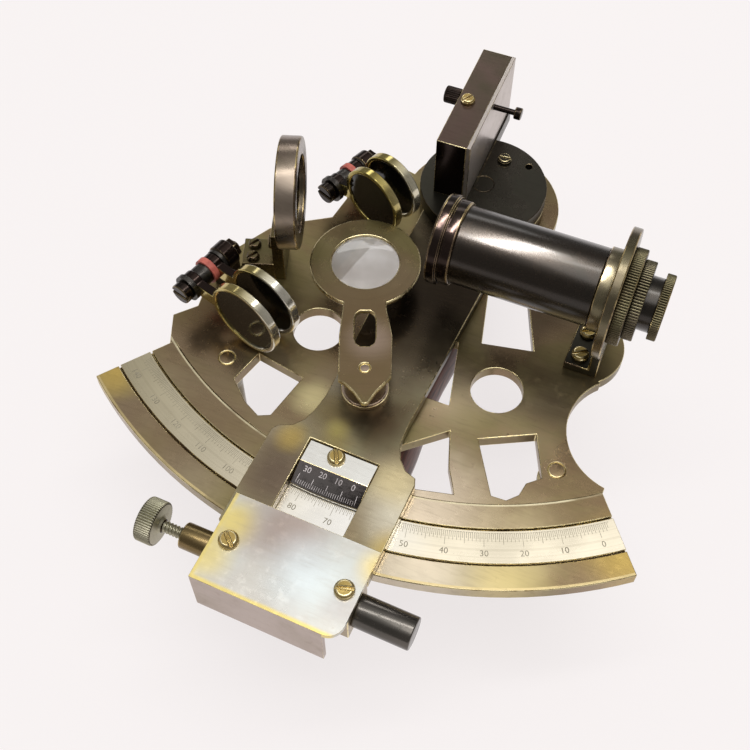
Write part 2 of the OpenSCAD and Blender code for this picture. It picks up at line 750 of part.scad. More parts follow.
module index_mirror_glass() color([0.75, 0.78, 0.80]) {
  on_mirror() difference() {
    translate([mirror_glass_back - 2, mirror_wall, mirror_wall])
      cube([2, mirror_l - 2 * mirror_wall, mirror_h - 2 * mirror_wall]);
    translate([0, adjust_y - mirror_y0, adjust_z]) rotate([0, 90, 0]) cylinder(r = 1.4, h = 5);
  }
}

module index_mirror_back() color(silver) {
  on_mirror() difference() {
    translate([mirror_d - mirror_back_t, 0, 0]) cube([mirror_back_t, mirror_l, mirror_h]);
    translate([mirror_d - 2, adjust_y - mirror_y0, adjust_z]) rotate([0, 90, 0]) cylinder(r = 0.85, h = 4);
  }
}

// Top screw of the case and the foot screw on the boss
module mirror_screws() color(brass) {
  on_mirror() translate([top_screw_x, top_screw_y, mirror_h]) slotted_screw(2, 1.3, 0.88, mirror_wall - 0.1, 60);
  on_arm() translate([foot_screw_x, foot_screw_y, boss_top]) slotted_screw(2, 1.3, 1.18, 2.5, 10);
}

module mirror_adjust_screw() color(dark_bronze) {
  knob_l = 4.6;
  rod = 8;
  on_mirror() translate([0, adjust_y - mirror_y0, adjust_z]) rotate([0, 90, 0]) {
    translate([0, 0, -knob_l - face_gap]) knurled(2.4, knob_l, 18, 0.25);
    translate([0, 0, -1]) cylinder(r = 0.8, h = mirror_d + rod + 1);
    translate([0, 0, mirror_d + rod - 2]) cylinder(r = 1.7, h = 2);
  }
}

/* Vernier, cover and tangent screw */

module vernier_plate() color(silver) {
  fit = 0.2;
  tip_y = -vernier_r - 1.4;
  on_arm() difference() {
    intersection() {
      translate([-window_w + fit, 0, 0]) rotate([90, 0, 90]) linear_extrude(2 * window_w - 2 * fit) polygon([
        [-pocket_top - fit, vernier_top], [-window_top - 1.2, vernier_top], [tip_y, arm_z + 0.3], [tip_y, arm_z],
        [-window_top - 0.1, arm_z], [-window_top - 0.1, arm_z + ledge_t], [-pocket_top - fit, arm_z + ledge_t]
      ]);
      cylinder(r = vernier_r, h = 2 * deck, $fn = 180);
    }
    translate([vernier_screw_x, vernier_screw_y, arm_z]) cylinder(r = 1.1, h = 5);
  }
}

module vernier_screw() color(brass) {
  on_arm() translate([vernier_screw_x, vernier_screw_y, vernier_top]) slotted_screw(2.3, 1.4, 1.07, 2.4, -60);
}

module cover_plate() color(silver) {
  x0 = -18.5;
  x1 = 19.5;
  y1 = -arm_end + 7.5;
  corner = 4;
  on_arm() difference() {
    union() {
      translate([0, 0, arm_top]) linear_extrude(cover_t) union() {
        polygon([[x0, cover_y0], [x1 - corner, cover_y0], [x1, cover_y0 + corner], [x1, y1], [x0, y1]]);
        translate([x1 - corner, cover_y0 + corner]) circle(corner);
      }
      translate([x0, cover_y0, arm_top + cover_t - flange_h]) cube([x1 - x0 - corner, cover_t, flange_h]);
    }
    for (x = [screw_x1, screw_x2]) translate([x, cover_screw_y, arm_top - cut]) cylinder(r = 1.3, h = cover_t + 2 * cut);
  }
}

module cover_screws() color(brass) {
  on_arm() for (x = [screw_x1, screw_x2])
    translate([x, cover_screw_y, arm_top + cover_t]) slotted_screw(2.5, 1.5, 1.25, cover_t + cover_screw_l, x < 0 ? -42 : 18);
}

// Two cheeks under the cover: the left one carries the screw, the right one the spring
module tangent_cheeks() color(bronze) {
  on_arm() difference() {
    for (x = [-cheek_x, barrel_x - cheek_w])
      translate([x, cheek_y0, deck + cheek_z0]) cube([cheek_w, -arm_end - cheek_y0, arm_top - deck - cheek_z0]);
    translate([-20, slide_y, deck + slide_z]) rotate([0, 90, 0]) cylinder(r = thread_r + run_fit, h = 45);
    for (x = [screw_x1, screw_x2])
      translate([x, cover_screw_y, arm_top - cover_screw_l - 0.1]) cylinder(r = 1.3, h = cover_screw_l + cut);
  }
}

// Places children on the tangent screw's axis, local Z towards the spring
module on_slide() {
  on_arm() translate([0, slide_y, deck + slide_z]) rotate([0, 90, 0]) children();
}

module screw_collar() color(dark_bronze) {
  collar_r = 3.35;
  on_slide() translate([0, 0, -26.5]) difference() {
    cylinder(r = collar_r, h = 26.5 - cheek_x);
    translate([0, 0, -cut]) cylinder(r = thread_r + run_fit, h = 20);
  }
}

module spring_barrel() color(black_bronze) {
  wall = 0.8;
  on_slide() translate([0, 0, barrel_x]) difference() {
    cylinder(r = barrel_r, h = barrel_l);
    translate([0, 0, -cut]) cylinder(r = barrel_r - wall, h = barrel_l - 1.2 + cut);
  }
}

// Coil spring inside the barrel, turns of a round wire
module tangent_spring() color([0.6, 0.6, 0.6]) {
  wire = 0.35;
  coils = 5;
  first = barrel_x + 4.4;
  last = barrel_x + barrel_l - 1.2;
  pitch = (last - first - 2 * wire) / coils;
  radius = thread_r + 0.9;
  steps = 12;
  on_slide() translate([0, 0, first + wire])
    for (i = [0 : coils * steps - 1]) {
      hull() {
        rotate([0, 0, i * 360 / steps]) translate([radius, 0, i * pitch / steps]) sphere(wire, $fn = 8);
        rotate([0, 0, (i + 1) * 360 / steps]) translate([radius, 0, (i + 1) * pitch / steps]) sphere(wire, $fn = 8);
      }
    }
}

thumb_y = -limb_r + 8;

// Block on the slow motion screw, with the jaw that the thumb screw presses under the limb
module clamp_block() color(bronze) {
  half = 5;
  block_y0 = slide_y - 8;
  block_y1 = slide_y + 5;
  block_z0 = -7.6;
  block_z1 = 2.5;
  jaw_y = thumb_y + 5;
  jaw_t = 3.2;
  plunger_l = 16.5;
  on_arm() {
    difference() {
      union() {
        translate([-half, block_y0, deck + block_z0]) cube([2 * half, block_y1 - block_y0, block_z1 - block_z0]);
        translate([-half, block_y1 - cut, deck + block_z0]) cube([2 * half, jaw_y - block_y1 + cut, jaw_t]);
      }
      translate([-half - cut, slide_y, deck + slide_z]) rotate([0, 90, 0]) cylinder(r = thread_r + run_fit, h = half + cut);
      translate([0, thumb_y, deck + block_z0 - cut]) cylinder(r = 1.5 + run_fit, h = jaw_t + 2 * cut);
    }
    translate([half - cut, slide_y, deck + slide_z]) rotate([0, 90, 0]) cylinder(r = thread_r, h = plunger_l + cut);
  }
}

module clamp_screw() color(dark_bronze) {
  head_h = 5;
  head_z = -17;
  on_arm() translate([0, thumb_y, deck + head_z]) {
    knurled(5, head_h, 30, 0.35);
    cylinder(r = 1.5, h = -head_z - limb_t - 0.35);
  }
}

module tangent_screw() color([0.34, 0.35, 0.28]) {
  head_x = -37.5;
  head_t = 4.5;
  on_slide() translate([0, 0, head_x]) {
    knurled(head_r, head_t, 36, 0.3);
    cylinder(r = thread_r, h = -head_x - 0.6);
    translate([0, 0, head_t]) cylinder(r1 = 2.4, r2 = thread_r, h = 1.2);
  }
}

/* Magnifier */

// Places children on the magnifier's post, local X towards the lens
module on_magnifier(height) {
  on_arm() translate([magnifier_x, magnifier_y, deck + height]) rotate([0, 0, 90 + magnifier_rest]) children();
}

module magnifier_post() color(brass) {
  collar_r = 5.3;
  on_arm() translate([magnifier_x, magnifier_y, 0]) {
    translate([0, 0, arm_z]) cylinder(r = 1.97, h = arm_t);
    translate([0, 0, arm_top]) cylinder(r = collar_r + 0.9, h = 1.2);
    translate([0, 0, arm_top]) cylinder(r = collar_r, h = deck + magnifier_z - face_gap - arm_top);
    translate([0, 0, arm_top]) cylinder(r = post_hole_r, h = deck + magnifier_z + magnifier_t - 0.2 - arm_top);
  }
}

module magnifier_frame() color(bronze) {
  stem_w = 6.6;
  on_magnifier(magnifier_z) difference() {
    union() {
      translate([magnifier_l, 0, 0]) cylinder(r = magnifier_r, h = magnifier_t);
      linear_extrude(magnifier_t) polygon([
        [24, -5.4], [17.5, -5.6], [15, -6.1], [10, -stem_w - 0.3], [-2.5, -stem_w], [-5, -4.6], [-7, -2.8], [-10.3, -0.8],
        [-10.6, 0], [-10.3, 0.8], [-7, 2.8], [-5, 4.6], [-3.6, stem_w], [10, stem_w], [15, 6.1], [17.5, 5.8], [24, 5.5]
      ]);
    }
    translate([magnifier_l, 0, -cut]) cylinder(r = lens_r, h = magnifier_t + 2 * cut);
    translate([0, 0, -cut]) linear_extrude(magnifier_t + 2 * cut) polygon([
      [6.6, -1.3], [7.5, -2.3], [9, -2.7], [15, -2.7], [16.6, -2.3], [17.5, -1.3],
      [17.5, 1.3], [16.6, 2.3], [15, 2.7], [9, 2.7], [7.5, 2.3], [6.6, 1.3]
    ]);
    translate([0, 0, -cut]) cylinder(r = post_hole_r + run_fit, h = magnifier_t + 2 * cut);
  }
}

module magnifier_lens() color([0.85, 0.88, 0.88, 0.4]) {
  on_magnifier(magnifier_z) translate([magnifier_l, 0, 0.1]) cylinder(r = lens_r - 0.02, h = magnifier_t - 0.2);
}

frame_plate();
limb_scale();
pivot_bush();
leg_left();
leg_right();
pivot_foot();
handle_grip();
handle_posts();
handle_screws();
telescope_holder();
holder_screws();
telescope_tube();
objective_cell();
objective_lens();
focus_sleeve();
focus_ring();
draw_tube();
eyepiece_cap();
eye_lens();
horizon_bracket();
horizon_ring();
horizon_glass();
horizon_retainer();
horizon_screws();
horizon_shade_bracket();
horizon_shade_pin();
fibre_washers();
steel_washers();
horizon_shade_1();
horizon_shade_1_glass();
horizon_shade_2();
horizon_shade_2_glass();
index_shade_bracket();
index_shade_pin();
index_shade_1();
index_shade_1_glass();
index_shade_2();
index_shade_2_glass();
index_arm();
arm_boss();
index_spindle();
index_mirror_case();
index_mirror_glass();
index_mirror_back();
mirror_screws();
mirror_adjust_screw();
vernier_plate();
vernier_screw();
cover_plate();
cover_screws();
tangent_cheeks();
screw_collar();
spring_barrel();
tangent_spring();
magnifier_post();
magnifier_frame();
magnifier_lens();
clamp_block();
clamp_screw();
tangent_screw();
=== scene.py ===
# %% [markdown]
# # A small vernier sextant
# The CAD model gives every part its place and its size. This script gives each part its finish:
# aged bronze with brass showing on the worn edges, a silver scale with its divisions, dark
# lacquer on the telescope, and clear, dark and silvered glass. Shapes and stains are written in
# millimetres, as in the CAD model, and become metres when a mesh or a pattern is made.

# %% Load the frame
import json
import math
import bpy
import bmesh
import numpy as np
from mathutils import Matrix, Vector

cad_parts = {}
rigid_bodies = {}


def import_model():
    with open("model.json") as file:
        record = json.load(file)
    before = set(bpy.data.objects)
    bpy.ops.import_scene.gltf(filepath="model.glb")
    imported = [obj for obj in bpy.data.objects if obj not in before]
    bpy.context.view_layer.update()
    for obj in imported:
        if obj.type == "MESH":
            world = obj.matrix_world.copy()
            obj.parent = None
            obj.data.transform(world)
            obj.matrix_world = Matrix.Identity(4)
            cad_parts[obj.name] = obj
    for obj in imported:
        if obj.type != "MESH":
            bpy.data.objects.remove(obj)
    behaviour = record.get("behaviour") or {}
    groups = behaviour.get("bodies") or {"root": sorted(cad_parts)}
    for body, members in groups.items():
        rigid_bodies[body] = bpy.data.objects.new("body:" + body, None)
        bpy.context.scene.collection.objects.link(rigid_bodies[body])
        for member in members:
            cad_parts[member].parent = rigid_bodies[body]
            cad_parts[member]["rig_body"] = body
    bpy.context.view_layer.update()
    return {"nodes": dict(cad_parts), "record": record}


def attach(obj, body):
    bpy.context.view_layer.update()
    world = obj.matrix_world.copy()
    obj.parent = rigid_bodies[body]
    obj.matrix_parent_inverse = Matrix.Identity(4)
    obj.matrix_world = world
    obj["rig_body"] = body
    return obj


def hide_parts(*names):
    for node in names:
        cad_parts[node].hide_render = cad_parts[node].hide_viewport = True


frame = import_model()
nodes = frame["nodes"]
slot_of = {entry["node"]: entry["material_slot"] for entry in frame["record"]["subparts"]}

# %% [markdown]
# ## Camera
# The photograph looks down on the instrument from in front and a little to the right. The
# direction was worked out from the rings and the limb's arc, so that the render lies over the
# photograph. A camera looks along its own minus Z, so its matrix is built from three directions.
# One helper puts this and every later object into the scene.

# %% Camera
def placed(name, data):
    """A new object with this data, in the scene."""
    thing = bpy.data.objects.new(name, data)
    scene.collection.objects.link(thing)
    return thing


scene = bpy.context.scene
camera_data = bpy.data.cameras.new("camera")
camera_data.lens = 54.5
camera_data.sensor_width = 36.0
camera_data.clip_start = 0.01
camera = placed("camera", camera_data)
right, up = Vector((0.923, 0.384, 0.0)), Vector((-0.321, 0.772, 0.5477))
ahead = Vector((-0.2105, 0.5056, -0.8367))
turned_to = Matrix((right, up, -ahead)).transposed().to_4x4()
camera.matrix_world = Matrix.Translation((0.0570, -0.2174, 0.2947)) @ turned_to
scene.camera = camera
print("camera at", [round(v, 3) for v in camera.location])

# %% [markdown]
# ## Colours
# Colours are written as a screen shows them, 0 to 255, because they can be compared with a
# photograph that way. Blender reckons in linear light, so each one is turned into that first.

# %% Colours
def srgb(red, green, blue):
    """A colour written as 0 to 255 display values, turned into linear light."""
    values = np.array([red, green, blue]) / 255.0
    linear = np.where(values <= 0.04045, values / 12.92, ((values + 0.055) / 1.055) ** 2.4)
    return tuple(float(v) for v in linear) + (1.0,)


print("display 128 is linear", round(srgb(128, 128, 128)[0], 3))

# %% [markdown]
# ## Node trees
# The world and every finish are node trees made of a few kinds of node: a ramp, a mix of two
# colours, a sum and a product. They could be added one by one, but one small class that adds and
# wires them lets a pattern be read like a formula.

# %% Node trees
class Nodes:
    """A node tree that is being built. A colour of three numbers is a display colour."""

    def __init__(self, tree):
        self.tree = tree

    def node(self, kind, inputs=(), **settings):
        """Adds a node with its settings, and sets or wires the inputs (name, source)."""
        new = self.tree.nodes.new(kind)
        for key, value in settings.items():
            setattr(new, key, value)
        for socket, source in inputs:
            self.value(source, new.inputs[socket])
        return new

    def value(self, source, socket):
        """Sets a socket to a number or colour, or wires it to another node's output."""
        if isinstance(source, tuple) and len(source) == 3:
            source = srgb(*source)
        if isinstance(source, (int, float, tuple)):
            socket.default_value = source
        else:
            self.tree.links.new(source, socket)

    def ramp(self, source, low, high, at_low=0.0, at_high=1.0):
        """A number that runs from at_low to at_high while source runs from low to high."""
        inputs = (("Value", source), ("From Min", low), ("From Max", high),
                  ("To Min", at_low), ("To Max", at_high))
        return self.node("ShaderNodeMapRange", inputs, interpolation_type="SMOOTHSTEP").outputs["Result"]

    def mix(self, amount, first, second):
        """The first colour where amount is 0, and the second where it is 1."""
        inputs = (("Fac", amount), ("Color1", first), ("Color2", second))
        return self.node("ShaderNodeMixRGB", inputs).outputs["Color"]

    def sum(self, first, second, way="ADD"):
        """Two numbers added, or joined in another way of the Math node."""
        return self.node("ShaderNodeMath", ((0, first), (1, second)), operation=way).outputs["Value"]

    def product(self, first, second):
        """Two numbers multiplied."""
        return self.sum(first, second, "MULTIPLY")

    def apart(self, vector):
        """The outputs X, Y and Z of a vector."""
        return self.node("ShaderNodeSeparateXYZ", ((0, vector),)).outputs


print("parts of a node tree:", [name for name in vars(Nodes) if not name.startswith("_")])

# %% [markdown]
# ## The room
# Metal is mostly what it mirrors. A plate that lies flat mirrors the ceiling, and the far end of
# the instrument mirrors a lower and darker part of the room than the near end does. So the world
# is bright overhead and dimmer towards the horizon and on the left. The camera itself sees a
# plain white instead, by the Is Camera Ray output.

# %% The room
scene.view_settings.view_transform = "Standard"
world = bpy.data.worlds.new("studio")
world.use_nodes = True
scene.world = world
world.node_tree.nodes.clear()
sky = Nodes(world.node_tree)
ray = sky.apart(sky.node("ShaderNodeTexCoord").outputs["Generated"])
brightness = sky.product(sky.ramp(ray["Z"], 0.66, 0.96), sky.ramp(ray["X"], -0.5, 0.02, 0.7, 1.0))
room = sky.mix(brightness, (0.25, 0.24, 0.23, 1), (1.02, 1.01, 0.99, 1))
seen = sky.mix(sky.node("ShaderNodeLightPath").outputs["Is Camera Ray"], room, (250, 247, 246))
glow = sky.node("ShaderNodeBackground", (("Color", seen),))
sky.node("ShaderNodeOutputWorld", (("Surface", glow.outputs["Background"]),))
print("world nodes:", len(sky.tree.nodes))

# %% [markdown]
# ## Lamps
# Two soft boxes give the faint shadows. A long narrow one overhead draws thin gleams along the
# rims and the round edges, as a light tube above a photographer's table does.

# %% Lamps
def soft_box(name, place, target, width, depth, watts):
    """A rectangular lamp at place, turned to face target."""
    lamp = bpy.data.lights.new(name, "AREA")
    lamp.shape, lamp.size, lamp.size_y, lamp.energy = "RECTANGLE", width, depth, watts
    holder = placed(name, lamp)
    holder.location = place
    holder.rotation_mode = "QUATERNION"
    holder.rotation_quaternion = (Vector(target) - Vector(place)).to_track_quat("-Z", "Y")
    return holder


tube_middle = (0.02, -0.039, 0.0735)
soft_box("overhead_box", (0.25, -0.25, 1.0), (0, -0.05, 0), 0.7, 0.5, 2.0)
soft_box("back_box", (-0.35, 0.65, 0.55), (0, -0.05, 0.03), 0.6, 0.16, 0.9)
soft_box("streak_box", (0.0, -0.01, 0.93), tube_middle, 0.9, 0.10, 2.6)

# %% [markdown]
# ## Helpers for finishes
# Each finish is a node material made of noise patterns laid over the object's own coordinates.
# Those are the same as the CAD model's, in metres, because every mesh is made in the shared
# frame, so a stain can be put at a known place on a plate.

# %% Helpers for finishes
class Finish(Nodes):
    """A procedural material: patterns over Object coordinates, wired into one shader."""

    def __init__(self, name, **sockets):
        self.material = bpy.data.materials.new(name)
        self.material.use_nodes = True
        super().__init__(self.material.node_tree)
        self.shader = self.tree.nodes["Principled BSDF"]
        self.point = self.node("ShaderNodeTexCoord").outputs["Object"]
        self.set(**sockets)

    def set(self, **sockets):
        """Sets or wires the shader's sockets. Base_Color stands for the socket Base Color."""
        for socket, source in sockets.items():
            self.value(source, self.shader.inputs[socket.replace("_", " ")])

    def stretched(self, x, y, z, turn=0.0, shift=(0, 0, 0)):
        """Object coordinates, scaled apart in three directions, for grain and brush lines."""
        mapping = self.node("ShaderNodeMapping", (("Vector", self.point),))
        for socket, vector in (("Location", shift), ("Scale", (x, y, z)), ("Rotation", (0, 0, turn))):
            mapping.inputs[socket].default_value = vector
        return mapping.outputs["Vector"]

    def noise(self, scale, detail=3.0, rough=0.55, vector=None, twist=0.0):
        """Soft clouds between 0 and 1, about scale of them to a metre."""
        inputs = (("Scale", scale), ("Detail", detail), ("Roughness", rough), ("Distortion", twist),
                  ("Vector", vector or self.point))
        return self.node("ShaderNodeTexNoise", inputs).outputs["Fac"]

    def bump(self, source, depth, strength=1.0):
        """Raises the surface by depth metres where source is 1."""
        inputs = (("Height", source), ("Distance", depth), ("Strength", strength))
        self.set(Normal=self.node("ShaderNodeBump", inputs).outputs["Normal"])


print("helpers of a finish:", [name for name in vars(Finish) if not name.startswith("_")])

# %% [markdown]
# ## Stains and rubbed lines
# Old brass isn't stained evenly: fingers rub it at known places, and lathe work leaves circles.
# These helpers put such marks at a point, a radius or a line. A little noise is added to the
# distance before it is compared, which makes the border of a stain ragged.

# %% Stains and rubbed lines
class Stained(Finish):
    """A finish that can also be marked at places given in millimetres."""

    def radius(self, x=0.0, y=0.0):
        """Distance in the XY plane from the point x, y."""
        moved = self.stretched(1, 1, 0, shift=(-x / 1000, -y / 1000, 0))
        return self.node("ShaderNodeVectorMath", ((0, moved),), operation="LENGTH").outputs["Value"]

    def rings(self, scale, x=0.0, y=0.0):
        """Noise that changes only with the radius: the fine circles that turning leaves."""
        joined = self.node("ShaderNodeCombineXYZ", (("X", self.radius(x, y)),))
        return self.noise(scale, 3, 0.7, vector=joined.outputs["Vector"])

    def stain(self, film, x, y, reach, colour, share):
        """Film with a soft ragged patch of another colour round the point x, y."""
        ragged = self.sum(self.radius(x, y), self.product(self.noise(45, 3), reach * 0.0007))
        return self.mix(self.ramp(ragged, reach * 0.0004, reach * 0.0013, share, 0.0), film, colour)

    def rubbed_line(self, film, axis, place, width, turned_by, colour):
        """Film that turns to another colour below place on one axis of a frame that is turned by an
        angle in degrees. The change is ragged and runs over width to each side."""
        along = self.apart(self.stretched(1, 1, 1, math.radians(turned_by)))[axis]
        ragged = self.sum(along, self.product(self.noise(160, 3), -width * 0.0008))
        share = self.ramp(ragged, (place - width) / 1000, (place + width) / 1000, 0.9, 0.0)
        return self.mix(share, film, colour)

    def arc(self, film, radius, width, colour):
        """Film with a thin broken arc of another colour about the index pivot."""
        from_pivot = self.radius()
        inner = self.ramp(from_pivot, (radius - 0.1) / 1000, (radius + 0.1) / 1000)
        outer = self.ramp(from_pivot, (radius + width) / 1000, (radius + width + 0.3) / 1000, 1, 0)
        broken = self.ramp(self.noise(60, 3), 0.35, 0.5, 0.2, 0.9)
        return self.mix(self.product(self.product(inner, outer), broken), film, colour)


print("marks:", [name for name in vars(Stained) if not name.startswith("_")])

# %% [markdown]
# ## Floor
# The instrument stands on a plain, nearly white sheet, far larger than itself, so that its edge
# never shows in the photograph's view. Part of the sheet's brightness is its own, which keeps
# the shadow as faint as it is under a large light tent.

# %% Floor
def floor_sheet(reach=3.0, count=13):
    """A flat grid of count by count points, z = 0 everywhere, reach metres each way."""
    span = np.linspace(-reach, reach, count)
    x, y = np.meshgrid(span, span)
    points = np.stack([x, y, np.zeros_like(x)], -1).reshape(-1, 3)
    index = np.arange(count * count).reshape(count, count)
    faces = np.stack([index[:-1, :-1], index[:-1, 1:], index[1:, 1:], index[1:, :-1]], -1).reshape(-1, 4)
    mesh = bpy.data.meshes.new("floor")
    mesh.from_pydata(points.tolist(), [], faces.tolist())
    return placed("floor", mesh)


paper = Finish("floor_paper", Roughness=0.9, Emission_Color=(250, 245, 245), Emission_Strength=0.80)
paper.set(Base_Color=paper.mix(paper.noise(6), (0.175, 0.168, 0.166, 1), (0.17, 0.163, 0.161, 1)))
floor = floor_sheet()
floor.data.materials.append(paper.material)
print("floor laid:", len(floor.data.polygons), "faces")

# %% [markdown]
# ## Aged bronze
# The real plates are brass that was browned and then rubbed. The flat faces keep a brown and
# olive film with paler, silvery patches, dark specks and fine brush lines. The film is made by
# mixing four colours with noise of several sizes, and the same noise also changes the roughness
# and the bump, so that what looks different also shines differently.

# %% Aged bronze
def bronze(name, colours, rough=(0.30, 0.46), pale_share=0.5, stains=(), circles=None, rubbed=(),
           arcs=(), grain=1.0):
    """Browned metal in four colours: brown, olive, pale patches and dark specks. Circles (scale, x, y)
    take the place of the brush lines."""
    brown, olive, pale, dark = colours
    f = Stained(name, Metallic=0.92)
    clouds = f.noise(38, 4, 0.6, twist=0.4)
    patches = f.noise(17, 3, 0.5, vector=f.stretched(1, 1.7, 1, 0.5))
    specks = f.noise(420, 3, 0.7)
    lines = f.rings(*circles) if circles else f.noise(90, 4, 0.65, vector=f.stretched(1.5, 14, 6, 0.35))
    film = f.mix(f.ramp(clouds, 0.38, 0.62), brown, olive)
    film = f.mix(f.ramp(patches, 0.50, 0.72, 0.0, pale_share), film, pale)
    for mark, places in ((f.stain, stains), (f.arc, arcs), (f.rubbed_line, rubbed)):
        for place in places:
            film = mark(film, *place)
    film = f.mix(f.ramp(specks, 0.62, 0.80, 0.0, 0.25), film, dark)
    film = f.mix(f.ramp(lines, 0.45, 0.75, 0.0, 0.16), film, dark)
    shine = f.sum(f.ramp(clouds, 0.3, 0.7, *rough), f.ramp(specks, 0.5, 0.8, 0.0, 0.12))
    f.set(Base_Color=film, Roughness=shine)
    f.bump(f.sum(lines, f.ramp(specks, 0.5, 0.8)), 0.000008 * grain, 0.5)
    return f.material


dark_film = bronze("dark_bronze_film", ((92, 76, 68), (82, 74, 60), (108, 94, 84), (44, 35, 30)),
                   pale_share=0.35)
charcoal_film = bronze("charcoal_film", ((66, 61, 54), (58, 56, 48), (88, 82, 72), (34, 30, 27)),
                       (0.2, 0.34), 0.4)
black_film = bronze("black_lacquer_film", ((46, 36, 32), (40, 34, 30), (58, 48, 42), (20, 16, 15)),
                    (0.12, 0.22), 0.3)
brass_film = bronze("brass_film", ((190, 162, 98), (170, 148, 88), (214, 194, 140), (90, 70, 40)),
                    (0.18, 0.32))
ring_film = bronze("ring_film", ((112, 98, 70), (100, 92, 62), (142, 128, 98), (52, 44, 30)),
                   (0.2, 0.34))
print("nodes in one film:", len(dark_film.node_tree.nodes))

# %% [markdown]
# ## Bare edges
# Handling takes the film off the edges first, and the yellow metal shows there. The edges get a
# material of their own, because every metal piece has a narrow bevel that can carry it. Some of
# the film is left on the edge here and there, so the bright line is broken as on the real one.

# %% Bare edges
def worn_edge(name, bright, film, wear=0.38):
    """Bare metal along an edge, with the film left on it where the noise is below wear."""
    f = Finish(name, Metallic=1.0)
    bare = f.ramp(f.noise(130, 4, 0.65), wear, wear + 0.2)
    f.set(Base_Color=f.mix(bare, film, bright), Roughness=f.ramp(f.noise(600, 2), 0.3, 0.7, 0.16, 0.34))
    f.bump(f.noise(900, 2), 0.000008, 0.5)
    return f.material


gold_edge = worn_edge("worn_gold_edge", (236, 220, 172), (160, 138, 98), 0.32)
faint_edge = worn_edge("worn_brown_edge", (186, 166, 118), (104, 88, 70), 0.42)
dark_edge = worn_edge("worn_dark_edge", (132, 118, 92), (70, 60, 48), 0.46)
print("edges:", gold_edge.name, faint_edge.name, dark_edge.name)

# %% [markdown]
# ## The frame's and the arm's films
# The two largest plates show the most. Their marks were read from the photograph in general places. Yellow at
# the limb's tips and pale bronze beside the scale are stains. Nearly black under the telescope, on the web
# and on the arm, is a painted shadow and reflection of the telescope. Nearly black round the pivot is painted
# shade under the mirror case. A dark patch on the arm under the magnifier is a painted reflection. A bright
# crescent on the web beside the arm's shoulder is a painted highlight. The bright arcs along the limb's steps
# are partly worn edges and partly painted highlights. Each is a place in the plate's own plane, its reach,
# its colour and how far it covers the film.

# %% The frame's and the arm's films
gold, olive_dark, painted_shade_brown = (206, 176, 92), (92, 84, 52), (58, 46, 36)
limb_stains = [
    (-69, -92, 11, gold, 0.75), (69, -92, 16, gold, 0.65), (24, -113, 34, (212, 200, 178), 0.85),
    (22, -98, 24, (234, 216, 190), 0.85), (40, -96, 20, (192, 174, 138), 0.7),
    (44, -108, 16, (200, 182, 126), 0.75), (-37, -111, 16, (176, 162, 138), 0.6),
    (-40, -100, 26, (128, 108, 80), 0.6)]
# painted light among these: (28, -32) is a painted shadow and reflection under the telescope, (0, 8) is
# painted shade under the mirror case, and (-17, -79.5) is a painted highlight beside the arm's shoulder
web_stains = [
    (-52, -64, 24, (104, 84, 60), 0.75), (28, -32, 24, painted_shade_brown, 0.75), (46, -42, 18, (92, 80, 60), 0.55),
    (-8, -50, 22, (176, 156, 130), 0.5), (14, -66, 16, (186, 168, 140), 0.5), (54, -66, 12, olive_dark, 0.4),
    (0, 8, 30, painted_shade_brown, 0.85), (-34, -14, 20, (110, 92, 62), 0.6), (-17, -79.5, 8, (222, 208, 156), 0.75),
    (-34, -84, 8, (160, 142, 108), 0.5)]
frame_film = bronze(
    "frame_bronze_film", ((138, 116, 88), (132, 120, 82), (166, 148, 124), (70, 55, 40)), (0.22, 0.36),
    # the two arcs are bright lines along the limb's steps: partly worn edge, partly painted highlight
    stains=limb_stains + web_stains, arcs=[(97.5, 0.4, (236, 224, 188)), (119.2, 0.5, (210, 190, 140))])
# painted light among these: (3, -36) and (2, -34) are a painted reflection of the dark telescope, (2, -81) is
# a painted reflection under the magnifier, and (0, 2) is painted shade under the mirror case
arm_stains = [
    (-16, -105, 15, (112, 96, 82), 0.92), (-17, -94, 6, gold, 0.6), (15, -104, 13, (228, 220, 198), 0.85),
    (12, -96, 10, (232, 214, 166), 0.75), (14, -62, 8, (128, 118, 88), 0.5), (18, -113, 8, gold, 0.7),
    (3, -36, 68, (84, 70, 52), 0.85), (2, -34, 52, (46, 38, 30), 0.95), (-10, -84, 9, (118, 102, 66), 0.7),
    (2, -81, 15, (74, 58, 42), 0.9), (-7, -88, 5, (176, 162, 96), 0.75), (0, 2, 22, painted_shade_brown, 0.9),
    (-6, -92, 7, (150, 134, 76), 0.6)]
arm_film = bronze(
    "arm_bronze_film", ((150, 134, 106), (144, 138, 108), (186, 176, 156), (90, 76, 58)), (0.2, 0.34), 0.7,
    arm_stains)
print("stains:", len(limb_stains) + len(web_stains), "on the frame and", len(arm_stains), "on the arm")

# %% [markdown]
# ## Silver
# The scale is a strip of silver let into the limb, turned in fine circles about the pivot. Its colour is
# painted yellower and darker to the left, a painted reflection of the darker room that it mirrors there. It
# is painted near white round its middle, a painted highlight. The cover plate was silvered too, and the
# silver has worn through to the brass along two of its edges. A pale bluish patch in the cover's middle is a
# painted reflection.

# %% Silver
f = Stained("scale_silver", Metallic=0.92)
turning = f.rings(1400)
# painted reflection: the silver is painted yellower and darker to the left
tone = f.mix(f.ramp(f.apart(f.point)["X"], -0.075, 0.01), (186, 176, 148), (236, 226, 203))
tone = f.mix(f.ramp(f.noise(30, 4, 0.6), 0.5, 0.72, 0.0, 0.5), tone, (176, 170, 150))
tone = f.mix(f.ramp(turning, 0.45, 0.7, 0.0, 0.25), tone, (140, 128, 104))
